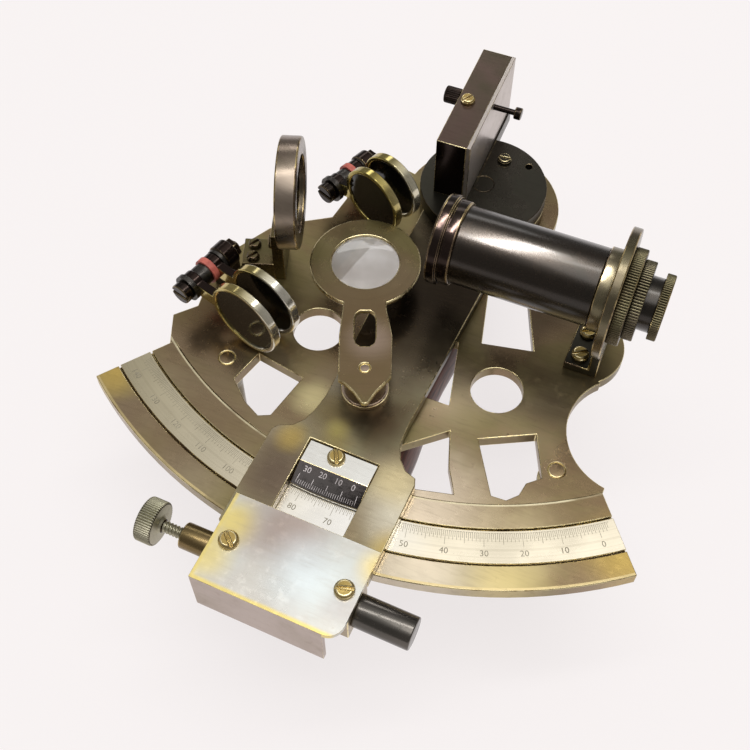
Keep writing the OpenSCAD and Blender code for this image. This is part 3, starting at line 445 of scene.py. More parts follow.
# painted highlight: near white round the middle of the scale
tone = f.stain(tone, 4, -109, 26, (250, 248, 244), 0.9)
f.set(Base_Color=tone, Roughness=f.ramp(f.noise(60, 4), 0.3, 0.7, 0.2, 0.34))
f.bump(turning, 0.000006, 0.5)
scale_silver = f.material
cover_film = bronze(
    "cover_silver_film", ((208, 204, 196), (200, 202, 196), (222, 226, 226), (168, 156, 136)), (0.26, 0.36),
    0.3, [(-19, -121, 8, (232, 212, 130), 0.9), (-22, -131, 9, (228, 210, 140), 0.85),
          (-6, -118, 15, (166, 148, 140), 0.85), (18, -119, 8, (232, 208, 130), 0.85),
          # (2, -128) is a pale bluish patch, a painted reflection in the cover's middle
          (13, -131, 7, (176, 166, 164), 0.5), (2, -128, 14, (216, 224, 226), 0.75)],
    rubbed=[("Y", -137.5, 0.5, 1.8, (236, 214, 126)), ("X", -17.9, 0.5, 1.8, (230, 210, 130))])
print("silvered:", scale_silver.name, cover_film.name)

# %% [markdown]
# ## A bevelled stand-in for a CAD part
# The CAD meshes have knife-sharp edges, which no real part has. A copy of the mesh is merged into
# one skin, its flat triangles are joined, and a Bevel modifier rounds each sharp edge by a fraction
# of a millimetre. The modifier gives the new faces a second material, so the wear follows the
# edges exactly. A bevel drawn in the shader would have been simpler, but would not be kept in an
# exported model.

# %% Taking a CAD part's place
replaced = set()


def rows(items, name, kind=float):
    """A property of all items that has three numbers, one row of an array to an item."""
    values = np.empty(len(items) * 3, dtype=kind)
    items.foreach_get(name, values)
    return values.reshape(-1, 3)


def settle(mesh, node, finishes, angle):
    """Makes a piece of a mesh: smooth, with its finishes, riding and replacing the CAD node."""
    mesh.shade_smooth()
    mesh.set_sharp_from_angle(angle=math.radians(angle))
    for finish in finishes:
        mesh.materials.append(finish)
    piece = placed(mesh.name, mesh)
    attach(piece, nodes[node]["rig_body"])
    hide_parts(node)
    replaced.add(node)
    return piece


print("kinds of CAD material:", sorted(set(slot_of.values())))

# %% [markdown]
# The bevel's own limit on its width holds for a whole mesh at once, so one tiny face would thin
# the bevel everywhere. It is off, except for one plate whose corner needs it. A Weighted Normal
# modifier then keeps the large faces flat to the light, so the bevels alone look round.

# %% Bevelled copies
def worn_copy(node, body_finish, edge_finish, width=0.25, angle=32.0, zones=(), clamp=False):
    """The merged copy of a CAD node, its edges rounded by width millimetres. A zone is a further
    finish with a test that tells, from the middles and normals of all faces, which ones wear it."""
    skin = bmesh.new()
    skin.from_mesh(nodes[node].data)
    bmesh.ops.remove_doubles(skin, verts=skin.verts, dist=2e-6)
    bmesh.ops.dissolve_limit(skin, angle_limit=math.radians(0.6), verts=skin.verts, edges=skin.edges)
    mesh = bpy.data.meshes.new(node + "_worn")
    skin.to_mesh(mesh)
    skin.free()
    middles, normals = rows(mesh.polygons, "center") * 1000, rows(mesh.polygons, "normal")
    index = np.zeros(len(mesh.polygons), dtype=np.int32)
    for number, (finish, test) in enumerate(zones):
        index[test(middles, normals)] = number + 2
    mesh.polygons.foreach_set("material_index", index)
    piece = settle(mesh, node, [body_finish, edge_finish] + [finish for finish, test in zones], angle)
    bevel = piece.modifiers.new("worn edge", "BEVEL")
    bevel.width = width / 1000
    bevel.segments = 2
    bevel.limit_method = "ANGLE"
    bevel.angle_limit = math.radians(angle)
    bevel.material = -1 if edge_finish is body_finish else 1
    bevel.use_clamp_overlap = clamp
    even = piece.modifiers.new("even normals", "WEIGHTED_NORMAL")
    even.keep_sharp = True
    even.weight = 80
    return piece


print("bevel: 2 segments, 0.25 mm unless a part says otherwise")

# %% [markdown]
# ## Surfaces from numbers
# Turned parts are drawn as a profile, a list of radius and height, whose corners are rounded by a
# short curve. The profile is then carried once round its axis. Whole arrays are computed at once:
# one axis of the grid runs along the profile and the other round the part.

# %% Rounded profiles
def rounded(profile, reach, steps, loop):
    """Cuts each corner c by a curve from p to q, the points reach away from it: the point at t is
    (1-t)^2 p + 2 t (1-t) c + t^2 q. Also tells which points lie on an outward corner's curve."""
    corner = np.asarray(profile, dtype=float)
    before, after = np.roll(corner, 1, 0) - corner, np.roll(corner, -1, 0) - corner
    long_before, long_after = np.linalg.norm(before, axis=1), np.linalg.norm(after, axis=1)
    cut = np.minimum(reach, 0.45 * np.minimum(long_before, long_after))
    if not loop:
        cut[[0, -1]] = 0
    p = corner + before * (cut / long_before)[:, None]
    q = corner + after * (cut / long_after)[:, None]
    t = np.linspace(0, 1, steps + 1)[None, :, None]
    points = (1 - t) ** 2 * p[:, None] + 2 * t * (1 - t) * corner[:, None] + t ** 2 * q[:, None]
    bend = (after[:, 0] * before[:, 1] - after[:, 1] * before[:, 0]) / (long_before * long_after)
    worn = np.repeat((bend > 0.3) & (cut > 0), steps + 1).reshape(-1, steps + 1)
    worn[:, -1] = False
    points, worn = points.reshape(-1, 2), worn.reshape(-1)
    if not loop:
        points, worn = points[steps:len(points) - steps], worn[steps:len(worn) - steps]
    return points, worn


def tube(inner, outer, low, high):
    """The profile of a tube, or of a plain rod where inner is 0."""
    return [(inner, low), (outer, low), (outer, high), (inner, high)]


print("a tube with rounded corners has", len(rounded(tube(1, 2, 0, 1), 0.2, 3, True)[0]), "points")

# %% [markdown]
# A knurl is pressed into a rim so that fingers can grip it. Here it is the same turned surface
# with the radius of its outermost rim lowered in notches, which are real geometry and show in the
# outline too.

# %% Turned surfaces
def swept(grid, loop):
    """Four-sided faces between the points of a grid that closes round its second axis."""
    index = np.arange(grid.shape[0] * grid.shape[1]).reshape(grid.shape[:2])
    first, second = (index, np.roll(index, -1, 0)) if loop else (index[:-1], index[1:])
    return np.stack([first, np.roll(first, -1, 1), np.roll(second, -1, 1), second], -1)


def turned(profile, place, reach=0.25, around=96, steps=3, knurl=None, paint=(0, 1, 2)):
    """Surface of revolution: the point at angle a is (r cos a, r sin a, z). The profile runs so that
    the part lies on its left, and is a closed loop unless it starts on the axis. With knurl =
    (notches, depth) the radius of the outermost rim is lowered by depth (1 - |sin(notches a / 2)|).
    Paint numbers the finishes of the body, its outward corners and a knurl's ridges."""
    loop = profile[0][0] > 0
    points, worn = rounded(profile, reach, steps, loop)
    around = knurl[0] * 6 if knurl else around
    a = 2 * np.pi * np.arange(around) / around
    r = np.repeat(points[:, :1], around, 1)
    z = np.repeat(points[:, 1:], around, 1)
    outermost = points[:, 0] > points[:, 0].max() - 0.3
    if knurl:
        notch = 1 - np.abs(np.sin(knurl[0] * a / 2))
        r = r - knurl[1] * notch[None] * outermost[:, None]
    grid = np.stack([r * np.cos(a), r * np.sin(a), z, np.ones_like(r)], -1) @ place.T
    faces = swept(grid, loop)
    colour = np.where(worn[:len(faces), None], paint[1], paint[0]) * np.ones((1, around), dtype=int)
    if knurl:
        ridge = (notch + np.roll(notch, -1)) / 2 < 0.35
        rim = (outermost & np.roll(outermost, -1))[:len(faces), None]
        colour = np.where(rim & ridge[None], paint[2], colour)
    return grid[..., :3].reshape(-1, 3), faces.reshape(-1, 4), colour.reshape(-1)


print("a plain ring has", len(turned(tube(1, 2, 0, 1), np.eye(4))[1]), "faces")

# %% [markdown]
# A screw thread winds round its rod, so it is a surface whose radius depends on both the height
# and the angle. A groove could be cut along a helix, but a formula on a grid needs no cutting.

# %% Threads
def threaded(radius, pitch, depth, start, end, place, paint=0, around=40):
    """Screw thread: at angle a and height z the radius is lowered by depth times twice the distance
    of z / pitch - a / (2 pi) from the nearest whole number."""
    z = np.linspace(start, end, int((end - start) / pitch * 8) + 1)[:, None]
    a = 2 * np.pi * np.arange(around)[None] / around
    turns = z / pitch - a / (2 * np.pi)
    r = radius - 2 * depth * np.abs(turns - np.round(turns))
    grid = np.stack([r * np.cos(a), r * np.sin(a), z + 0 * a, np.ones_like(r)], -1) @ place.T
    faces = swept(grid, False).reshape(-1, 4)
    return grid[..., :3].reshape(-1, 3), faces, np.full(len(faces), paint)


print("four turns of thread have", len(threaded(1.5, 1, 0.3, 0, 4, np.eye(4))[1]), "faces")

# %% [markdown]
# Several surfaces make one piece: a screw is a head, a thread and a shank. They are joined, their
# doubled points are merged, which also closes the poles, and all faces are turned outward.

# %% From surfaces to a piece
def joined(shapes):
    """The points of several shapes in one array, and their faces as lists of places in it."""
    starts = np.cumsum([0] + [len(shape[0]) for shape in shapes])
    faces = [face for shape, start in zip(shapes, starts) for face in (shape[1] + start).tolist()]
    return np.concatenate([shape[0] for shape in shapes]), faces


def made(node, shapes, finishes, angle=35.0):
    """The piece that replaces a CAD node, from its surfaces: (points, faces, paint) of each."""
    points, faces = joined(shapes)
    mesh = bpy.data.meshes.new(node + "_made")
    mesh.from_pydata((points / 1000).tolist(), [], faces)
    paint = np.concatenate([shape[2] for shape in shapes]).astype(np.int32)
    mesh.polygons.foreach_set("material_index", paint)
    skin = bmesh.new()
    skin.from_mesh(mesh)
    bmesh.ops.remove_doubles(skin, verts=skin.verts, dist=1e-6)
    bmesh.ops.dissolve_degenerate(skin, edges=skin.edges, dist=1e-7)
    bmesh.ops.recalc_face_normals(skin, faces=skin.faces)
    skin.to_mesh(mesh)
    skin.free()
    return settle(mesh, node, finishes, angle)


def lens(node, radius, lower, upper, place, glass, around=96, angle=35.0):
    """A lens whose faces have the heights lower(s) and upper(s), with s from 0 at the middle to 1
    at the rim."""
    s = np.linspace(0, 1, 17)
    profile = [(radius * t, lower(t)) for t in s] + [(radius * t, upper(t)) for t in s[::-1]]
    return made(node, [turned(profile, place, 0.01, around, 1, paint=(0, 0, 0))], [glass], angle)


print("ready to make", len(nodes), "nodes")

# %% [markdown]
# ## Places
# A turned part is drawn about its own Z axis and then put in place by a matrix. The arm and all
# that it carries stand turned a little from the middle of the limb, and the mirror a little more.

# %% Places
arm_turn = -1.8


def shift(x, y, z):
    """4 by 4 matrix that moves by x, y and z."""
    return np.array(Matrix.Translation((x, y, z)))


def turn(axis, degrees):
    """4 by 4 matrix that turns by degrees about the X, Y or Z axis."""
    return np.array(Matrix.Rotation(math.radians(degrees), 4, axis))


on_arm = turn("Z", arm_turn)
on_mirror = on_arm @ turn("Z", 2.4) @ shift(-12.3, -7.9, 54)
on_magnifier = on_arm @ shift(-2.9, -74.5, 58.5) @ turn("Z", 114.4)
on_telescope = shift(0, -39, 73.5) @ turn("Y", 90)
on_ring = shift(-40, -40.9, 74.9) @ turn("Z", 19.2) @ turn("Y", 90)
on_slide = on_arm @ shift(0, -127.4, 45) @ turn("Y", 90)
on_clamp = on_arm @ shift(0, -112, 29)
on_adjuster = on_mirror @ shift(0, 20.4, 17.5) @ turn("Y", 90)
print("telescope's axis runs along", on_telescope[:3, 2].round(2))

# %% [markdown]
# ## Telescope tube
# A tube with a wide objective cell in front, held behind in a ring plate. The tube is lacquered
# nearly black, and a clear coat over a film with little grain gives its long soft reflections. The
# rims are turned in steps, and their corners show thin worn lines.

# %% Telescope tube
def clear_glass(name, tint, through=1.0):
    """Glass that lets light through, with a faint cloudy tint."""
    f = Finish(name, IOR=1.5, Transmission_Weight=through)
    f.set(Base_Color=f.mix(f.ramp(f.noise(60), 0.4, 0.7, 0.0, 0.5), tint, (250, 250, 248)),
          Roughness=f.ramp(f.noise(90), 0.3, 0.7, 0.015, 0.03))
    f.bump(f.noise(40, 1), 0.00001, 0.2)
    return f.material


lens_glass = clear_glass("lens_glass", (236, 240, 240))
lacquer = bronze("telescope_lacquer", ((38, 29, 20), (30, 25, 17), (46, 36, 26), (16, 12, 9)),
                 (0.24, 0.3), 0.3, grain=0.2)
coat = lacquer.node_tree.nodes["Principled BSDF"].inputs
coat["Coat Weight"].default_value, coat["Coat Roughness"].default_value = 0.65, 0.2
collar_film = bronze("collar_film", ((112, 102, 84), (100, 94, 72), (136, 126, 108), (52, 46, 36)),
                     (0.18, 0.3))
made("telescope_tube", [
    turned(tube(9.1, 10.1, 3.5, 42.2), on_telescope, 0.15, 128),
    turned(tube(9.1, 10.7, 42.4, 45.6), on_telescope, 0.3, 128, paint=(2, 3, 3)),
], [lacquer, dark_edge, collar_film, faint_edge])
made("objective_cell", [turned([
    (8.75, 0.5), (11.4, 0.5), (11.7, 0.9), (11.7, 3.1), (11.35, 3.1), (11.35, 3.5), (10.75, 3.5),
    (10.75, 3.8), (10.95, 3.8), (10.95, 6.2), (10.65, 6.5), (10.15, 6.5), (10.15, 3.6), (9.45, 3.5),
    (9.45, 1.5), (8.75, 1.5)], on_telescope, 0.22, 128)], [black_film, faint_edge])
lens("objective_lens", 9.4, lambda s: 1.0 + 0.9 * s * s, lambda s: 3.5 - 0.25 * (1 - s * s), on_telescope,
     lens_glass)
print("tube, cell and lens:", sorted(replaced))

# %% [markdown]
# ## Eyepiece
# The draw tube slides in a sleeve and is moved by the focus ring. The lock ring, the focus ring and the
# eyepiece cap are knurled, each with its own count of notches. The tops of the knurls are painted paler than
# the notches between them, partly as rubbed metal and partly as a painted glint.

# %% Eyepiece
knurl_film = bronze("knurl_film", ((74, 66, 50), (70, 68, 50), (92, 84, 66), (40, 34, 26)), (0.28, 0.42))
knurl_ridge_wear_and_glint = bronze("knurl_ridge_wear_and_glint", ((104, 94, 72), (96, 90, 66), (124, 114, 90), (60, 52, 38)),
                     (0.24, 0.36))
knurled = [knurl_film, faint_edge, knurl_ridge_wear_and_glint]
made("focus_sleeve", [
    turned(tube(6.95, 7.9, 45.6, 51.2), on_telescope, 0.1),
    turned(tube(6.95, 10.1, 51, 53.8), on_telescope, 0.3, steps=2, knurl=(84, 0.24)),
], [black_film, dark_edge, collar_film])
made("focus_ring", [turned(tube(7.95, 12.3, 48.05, 50.95), on_telescope, 0.3, steps=2, knurl=(110, 0.24))],
     knurled)
made("draw_tube", [turned(tube(5.9, 6.9, 31.6, 56.8), on_telescope, 0.15)], [lacquer, dark_edge])
made("eyepiece_cap", [turned([
    (4.5, 56.8), (8.4, 56.8), (8.4, 58.9), (8.1, 59.1), (7.2, 59.1), (6.2, 58.7), (3.4, 58.4), (3.4, 58.1),
    (4.5, 58.0)], on_telescope, 0.25, steps=2, knurl=(84, 0.24))], knurled)
lens("eye_lens", 4.45, lambda s: 56.9 + 0.2 * s * s, lambda s: 58.0 - 0.1 * s * s, on_telescope,
     lens_glass, 64)
holder_foot_top = 58
worn_copy("telescope_holder", charcoal_film, faint_edge, 0.3,
          zones=[(collar_film, lambda m, n: m[:, 2] > holder_foot_top)])
print("telescope pieces:", len(replaced))

# %% [markdown]
# ## Horizon mirror
# A round glass in a ring, held from behind by a retainer. The ring's face is rubbed to a pink
# brown by the hand that cleans the glass. Ring and retainer are both turned.

# %% Horizon mirror
horizon_film = bronze("horizon_film", ((132, 116, 106), (112, 102, 86), (176, 160, 148), (62, 52, 46)),
                      (0.18, 0.3))
made("horizon_ring", [turned([(12, -2.7), (14.6, -2.7), (14.6, 2.7), (10, 2.7), (10, 0.8), (12, 0.8)],
                             on_ring, 0.45, 144, 4)], [horizon_film, faint_edge])
made("horizon_retainer", [turned(tube(10, 11.9, -2.7, -1.0), on_ring, 0.25, 128)], [dark_film, gold_edge])
print("horizon mirror made:", len(replaced))

# %% [markdown]
# ## Legs
# Two turned legs stand under the web near the limb's ends, and a hollow one under the pivot. Each
# leg's rivet comes up through the web and was filed flush, so it shows as a bright ring there.

# %% Legs
foot = [(0, 0), (5.5, 0), (5.5, 2), (4.51, 4.5)]
shank = [(3.03, 9), (3.03, 34), (3.58, 37), (4.4, 39.5), (4.4, 42), (0, 42)]
cup = [(3.3, 10), (3.3, 24), (9.5, 30), (9.5, 42), (7.5, 42), (7.5, 33), (0, 33)]
for node, x, y in (("leg_left", -44, -76.7), ("leg_right", 46.9, -75.5)):
    place = shift(x, y, 0)
    rivet = turned(tube(0, 2.17, 41.5, 45.5), place, 0.3, 48, paint=(2, 1, 2))
    made(node, [turned(foot + shank, place, 0.5, 64), rivet], [ring_film, gold_edge, frame_film])
made("pivot_foot", [turned(foot + cup, np.eye(4), 0.5, 72)], [ring_film, gold_edge])
print("legs made:", len(replaced))

# %% [markdown]
# ## Grip
# A turned hardwood handle under the web, where the hand holds the instrument. Its grain is one
# noise, stretched along the grip and twisted a little, that darkens, roughens and bumps the wood.

# %% Grip
grip_wood = Finish("grip_wood", Coat_Weight=0.3)
grain = grip_wood.noise(160, 4, 0.6, vector=grip_wood.stretched(5, 0.5, 5), twist=0.6)
grip_wood.set(Base_Color=grip_wood.mix(grip_wood.ramp(grain, 0.35, 0.65), (104, 48, 28), (58, 26, 17)),
              Roughness=grip_wood.ramp(grain, 0.3, 0.7, 0.3, 0.5))
grip_wood.bump(grain, 0.00003, 0.5)
made("handle_grip", [turned([
    (0, 0), (6, 0), (8.2, 2), (9, 6), (8.4, 14), (7.6, 24), (8.6, 36.3), (9.4, 47.5), (9, 58), (7.4, 64),
    (5.5, 66), (0, 66)], shift(1, -30, 24.5) @ turn("X", 90), 4.0, 96, 6)],
    [grip_wood.material, grip_wood.material])

# %% [markdown]
# ## Slow-motion screw
# The fine adjustment is a screw with a real thread between its knurled head and its collar. The
# barrel on the other side hides the spring that takes up the thread's play.

# %% Slow-motion screw
steel_film = bronze("grey_screw_film", ((172, 165, 142), (156, 153, 130), (190, 184, 164), (98, 92, 76)),
                    (0.3, 0.45))
barrel_film = bronze("barrel_film", ((98, 93, 88), (88, 85, 80), (122, 117, 110), (44, 40, 37)),
                     (0.16, 0.26))
pink_brass = bronze("collar_brass_film", ((128, 108, 74), (112, 98, 64), (164, 142, 104), (60, 48, 34)),
                    (0.22, 0.34))
made("tangent_screw", [
    turned([(0, -37.5), (5.7, -37.5), (5.7, -33), (2.4, -33), (1.55, -31.8), (0, -31.8)],
           on_slide, 0.5, knurl=(54, 0.28)),
    threaded(1.55, 0.9, 0.3, -32, -26, on_slide, 3),
    turned(tube(0, 1.5, -26.2, -0.6), on_slide, 0.1, 40, paint=(3, 3, 3)),
], [steel_film, dark_edge, steel_film, steel_film])
made("screw_collar", [turned(tube(1.62, 3.35, -26.5, -18.5), on_slide, 0.35, 72)], [pink_brass, faint_edge])
made("spring_barrel", [turned([(0, 33.8), (4.1, 33.8), (4.1, 19.5), (3.3, 19.5), (3.3, 32.6), (0, 32.6)],
                              on_slide, 0.4, 96)], [barrel_film, dark_edge])
print("slow-motion screw made:", len(replaced))

# %% [markdown]
# ## Clamp screw, adjusting screw and magnifier post
# The clamp screw's knurled head hangs under the arm. The adjusting screw goes through the mirror's
# case from side to side. The post was turned, so its film has fine circles about its own axis.

# %% Clamp screw, adjusting screw and magnifier post
made("clamp_screw", [
    turned(tube(0, 5, 0, 5), on_clamp, 0.4, steps=2, knurl=(44, 0.3)),
    turned(tube(0, 1.5, 4.8, 12.65), on_clamp, 0.2, 40)], knurled)
made("mirror_adjust_screw", [
    turned(tube(0, 2.4, -4.65, -0.05), on_adjuster, 0.5, knurl=(24, 0.18)),
    turned(tube(0, 0.8, -1, 15.9), on_adjuster, 0.1, 40),
    turned(tube(0, 1.7, 15.7, 17.7), on_adjuster, 0.4, 48),
], [black_film, dark_edge, black_film])
post_film = bronze("post_film", ((170, 150, 134), (150, 134, 112), (200, 182, 166), (80, 64, 52)),
                   (0.16, 0.28), circles=(1500, -5.2, -74.4))
made("magnifier_post", [turned([
    (0, 46.5), (1.97, 46.5), (1.97, 49.5), (6.2, 49.5), (6.2, 50.7), (5.3, 50.7), (5.3, 58.45), (1.3, 58.45),
    (1.3, 59.7), (0, 59.7)], on_arm @ shift(-2.9, -74.5, 0), 0.25, 72)], [post_film, gold_edge])
print("turned parts made:", len(replaced))

# %% [markdown]
# ## Frame, arm and mirror case
# The flat and square parts keep their CAD shape as bevelled copies. On the frame, the two narrow
# grooves beside the scale are a zone of their own, nearly black, because dirt and old lacquer
# stay in a groove when the plate is rubbed.

# %% Frame, arm and mirror case
groove_dark = bronze("groove_dark", ((52, 38, 26), (58, 44, 26), (76, 60, 38), (28, 20, 14)), (0.4, 0.6))
back_film = bronze(
    "mirror_back_film", ((196, 186, 180), (186, 178, 170), (210, 204, 198), (150, 140, 132)), (0.3, 0.42))
groove_floor, scale_middle, scale_half = 45.0, 108.85, 5.2


def groove_bottom(m, n):
    """Level faces at the height of the grooves' floor."""
    return (np.abs(m[:, 2] - groove_floor) < 0.05) & (n[:, 2] > 0.9)


def groove_wall(m, n):
    """Upright faces above the grooves' floor, at radii within the scale's width."""
    from_scale = np.abs(np.hypot(m[:, 0], m[:, 1]) - scale_middle)
    return (np.abs(n[:, 2]) < 0.2) & (m[:, 2] > groove_floor + 0.1) & (from_scale < scale_half)


worn_copy("frame_plate", frame_film, gold_edge, 0.22,
          zones=[(groove_dark, groove_bottom), (groove_dark, groove_wall)])
worn_copy("index_arm", arm_film, gold_edge, 0.22)
worn_copy("arm_boss", charcoal_film, dark_edge, 0.15)
worn_copy("index_spindle", charcoal_film, dark_edge, 0.1)
worn_copy("limb_scale", scale_silver, gold_edge, 0.12)
# the case's near end, its faces turned towards -Y, is painted black: painted shade on that side
worn_copy("index_mirror_case", dark_film, gold_edge, 0.16, zones=[(black_film, lambda m, n: n[:, 1] < -0.9)])
worn_copy("index_mirror_back", back_film, faint_edge, 0.12)
for node in ("horizon_shade_bracket", "index_shade_bracket", "horizon_shade_pin", "index_shade_pin"):
    worn_copy(node, black_film, dark_edge, 0.3)
print("plates made:", len(replaced))

# %% [markdown]
# ## Cover, vernier and magnifier
# The cover's flange has a duller skin than its face. The vernier's polished slope is painted nearly black, a
# painted dark reflection, on which its numbers stand out white, and it is silver elsewhere. The magnifier's
# frame was turned about its lens, so its circles run round the lens, and its upright faces are rubbed bright.

# %% Cover, vernier and magnifier
flange_film = bronze(
    "flange_film", ((178, 162, 152), (166, 152, 138), (190, 176, 168), (128, 112, 100)), (0.3, 0.42))
vernier_silver = bronze(
    "vernier_silver", ((246, 245, 240), (238, 236, 230), (250, 250, 248), (170, 164, 150)), (0.16, 0.26))
# painted reflection: the vernier's polished slope is painted nearly black
vernier_painted_reflection = bronze(
    "vernier_slope_painted_reflection", ((22, 19, 18), (18, 16, 15), (34, 30, 28), (10, 9, 8)), (0.06, 0.12))
magnifier_film = bronze(
    "magnifier_film", ((128, 108, 80), (116, 106, 70), (150, 134, 106), (66, 53, 38)), (0.18, 0.3),
    stains=[(-7, -66, 9, (182, 160, 144), 0.7), (-26, -36, 8, olive_dark, 0.6)], circles=(900, -18.2, -43.3))
worn_copy("cover_plate", cover_film, gold_edge, 0.14, clamp=True,
          zones=[(flange_film, lambda m, n: (m[:, 2] < 49.4) & (np.abs(n[:, 2]) < 0.5))])
worn_copy("vernier_plate", vernier_silver, gold_edge, 0.12, angle=12.0,
          zones=[(vernier_painted_reflection, lambda m, n: (n[:, 2] > 0.9) & (n[:, 2] < 0.985))])
worn_copy("magnifier_frame", magnifier_film, gold_edge, 0.3,
          zones=[(gold_edge, lambda m, n: np.abs(n[:, 2]) < 0.3)])
print("cover, vernier and magnifier made:", len(replaced))

# %% [markdown]
# ## Shades
# Four dark glasses in polished rims swing on two pins. The rims are yellow, with silver patches painted on
# them as reflections, and the lugs on the pins are black. A lug is told from its rim by its distance from the
# pin's axis.

# %% Shades
shade_rim_and_reflection_film = bronze(
    "shade_rim_film_painted_reflections", ((186, 168, 104), (164, 150, 86), (222, 210, 164), (70, 58, 34)), (0.08, 0.16),
    # painted reflections: the silver patches on the rims
    stains=[(-29, -62, 14, (232, 228, 216), 0.9), (-31, -70, 14, (232, 228, 216), 0.9),
            (-14, -16, 12, (226, 222, 206), 0.8)])


def near_line(m, start, yaw, reach):
    """Which points m lie within reach of the level line through start along -Y, turned by yaw."""
    along = np.array([math.sin(math.radians(yaw)), -math.cos(math.radians(yaw)), 0])
    away = m - start
    return np.linalg.norm(away - (away @ along)[:, None] * along, axis=1) < reach


pins = {"horizon_shade": ((-53.9, -52.4, 58), -16, 8.2), "index_shade": ((-33.1, -4.7, 54.5), -22.3, 6.6)}
for shade, pin in pins.items():
    for number in (1, 2):
        worn_copy(f"{shade}_{number}", shade_rim_and_reflection_film, shade_rim_and_reflection_film, 0.3,
                  zones=[(black_film, lambda m, n: near_line(m, *pin))])
print("shades made:", len(replaced))

# %% [markdown]
# ## Screws and small parts
# What is left is small and takes its finish from the kind of material that the CAD model states.

# %% Screws and small parts
for node in ("horizon_bracket", "horizon_screws"):
    worn_copy(node, ring_film, faint_edge, 0.2)
case_foot_top = 60
worn_copy("mirror_screws", brass_film, gold_edge, 0.12,
          zones=[(charcoal_film, lambda m, n: m[:, 2] < case_foot_top)])
finishes = {
    "frame_bronze": (frame_film, gold_edge), "dark_bronze": (dark_film, faint_edge),
    "black_bronze": (black_film, faint_edge), "bright_brass": (brass_film, gold_edge),
    "silvered": (cover_film, gold_edge),
}
for node in nodes:
    if node not in replaced and slot_of.get(node) in finishes:
        worn_copy(node, *finishes[slot_of[node]])

# %% [markdown]
# ## Numbers as meshes
# The scale and the vernier are numbered. Each number is made as flat text and turned into a mesh,
# because the points of a mesh can then be bent onto an arc.

# %% Numbers as meshes
def digits(text, size):
    """A number as flat faces round its own middle, in millimetres."""
    curve = bpy.data.curves.new("digits", "FONT")
    curve.body, curve.size, curve.resolution_u = text, size, 3
    curve.align_x, curve.align_y = "CENTER", "CENTER"
    holder = placed("digits", curve)
    bpy.context.view_layer.update()
    mesh = bpy.data.meshes.new_from_object(holder)
    mesh.calc_loop_triangles()
    points, faces = rows(mesh.vertices, "co"), rows(mesh.loop_triangles, "vertices", np.int32)
    bpy.data.objects.remove(holder)
    bpy.data.curves.remove(curve)
    bpy.data.meshes.remove(mesh)
    return points[:, :2], faces


print("a figure 8 has", len(digits("8", 2.2)[1]), "triangles")

# %% [markdown]
# ## Lines and marks
# Engraved marks are a few hundredths of a millimetre deep, too little for a groove to show, so
# each line is a thin flat quad just above the metal. Lines and numbers are laid on it as one
# piece.

# %% Lines and marks
def strokes(angles, inner, outer, half):
    """Radial lines: at angle a the middle line runs from radius inner to outer, and each corner lies
    half a width to its side, so a corner is r (sin a, -cos a) + t (cos a, sin a)."""
    a, inner, outer = np.broadcast_arrays(np.radians(angles), inner, outer)
    radial, side = np.stack([np.sin(a), -np.cos(a)], -1), np.stack([np.cos(a), np.sin(a)], -1)
    ends = ((inner, -half), (outer, -half), (outer, half), (inner, half))
    corners = [radial * r[:, None] + side * t for r, t in ends]
    points = np.stack(corners, 1).reshape(-1, 2)
    return points, np.arange(len(points)).reshape(-1, 4)


def inked(name, body, flat, lift, finish):
    """Flat figures as one piece on a surface: lift gives each point (x, y) its height."""
    points, faces = joined(flat)
    mesh = bpy.data.meshes.new(name)
    mesh.from_pydata((np.column_stack([points, lift(points)]) / 1000).tolist(), [], faces)
    mesh.materials.append(finish)
    piece = placed(name, mesh)
    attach(piece, body)
    return piece


print("three lines have", len(strokes([0, 1, 2], 1, 2, 0.05)[0]), "corners")

# %% [markdown]
# ## Divisions of the scale
# The mirror turns a ray twice as far as the arm turns, so a degree of angle is half a degree of
# arc. The scale is divided in half degrees of angle, with longer lines at whole, fifth and tenth
# degrees, and a number at every tenth whose top points to the pivot.

# %% Divisions of the scale
def inking(name, light, dark, scale, rough, **sockets):
    """What fills the marks: two colours and a roughness that change a little from place to place."""
    f = Finish(name, **sockets)
    f.set(Base_Color=f.mix(f.ramp(f.noise(scale), 0.35, 0.65), light, dark),
          Roughness=f.ramp(f.noise(400), 0.3, 0.7, *rough))
    f.bump(f.noise(900), 0.000006)
    return f.material


ink = inking("engraving_ink", (124, 116, 98), (156, 148, 128), 200, (0.5, 0.7), Metallic=0.2)
scale_top, first_line, number_radius = 46.012, 105.3, 110.6
mark, arc_per_mark = np.arange(-145, 146), 0.25
length = np.select([mark % 20 == 0, mark % 10 == 0, mark % 2 == 0], [3.6, 2.9, 2.2], 1.5)
figures = [strokes(np.linspace(-36.4, 36.4, 200), first_line - 0.1, first_line, 0.24),
           strokes(mark * arc_per_mark, first_line, first_line + length, 0.05)]
for count, middle in enumerate(np.arange(-35, 36, 5.0)):
    flat, faces = digits(str(140 - 10 * count), 2.2)
    bent, r = np.radians(middle) + flat[:, 0] / number_radius, number_radius - flat[:, 1]
    figures.append((np.stack([r * np.sin(bent), -r * np.cos(bent)], -1), faces))
inked("scale_divisions", "frame", figures, lambda p: np.full(len(p), scale_top), ink)
print("divisions:", len(mark), "numbers:", count + 1)

# %% [markdown]
# ## Divisions of the vernier
# The vernier's marks lie on its slope, which is painted dark as a reflection and falls outward towards the
# scale. They are laid out in the arm's own frame and then turned with it.

# %% Divisions of the vernier
chalk = inking("engraving_white", (214, 206, 206), (170, 162, 162), 300, (0.42, 0.58))
slope_top, slope_start, slope_fall, slope_run, hair = 49.0, -99.2, 2.2, 7.8, 0.014
cosine, sine = math.cos(math.radians(arm_turn)), math.sin(math.radians(arm_turn))
turn_flat = np.array([[cosine, sine], [-sine, cosine]])
step, long_every = 0.31, 7


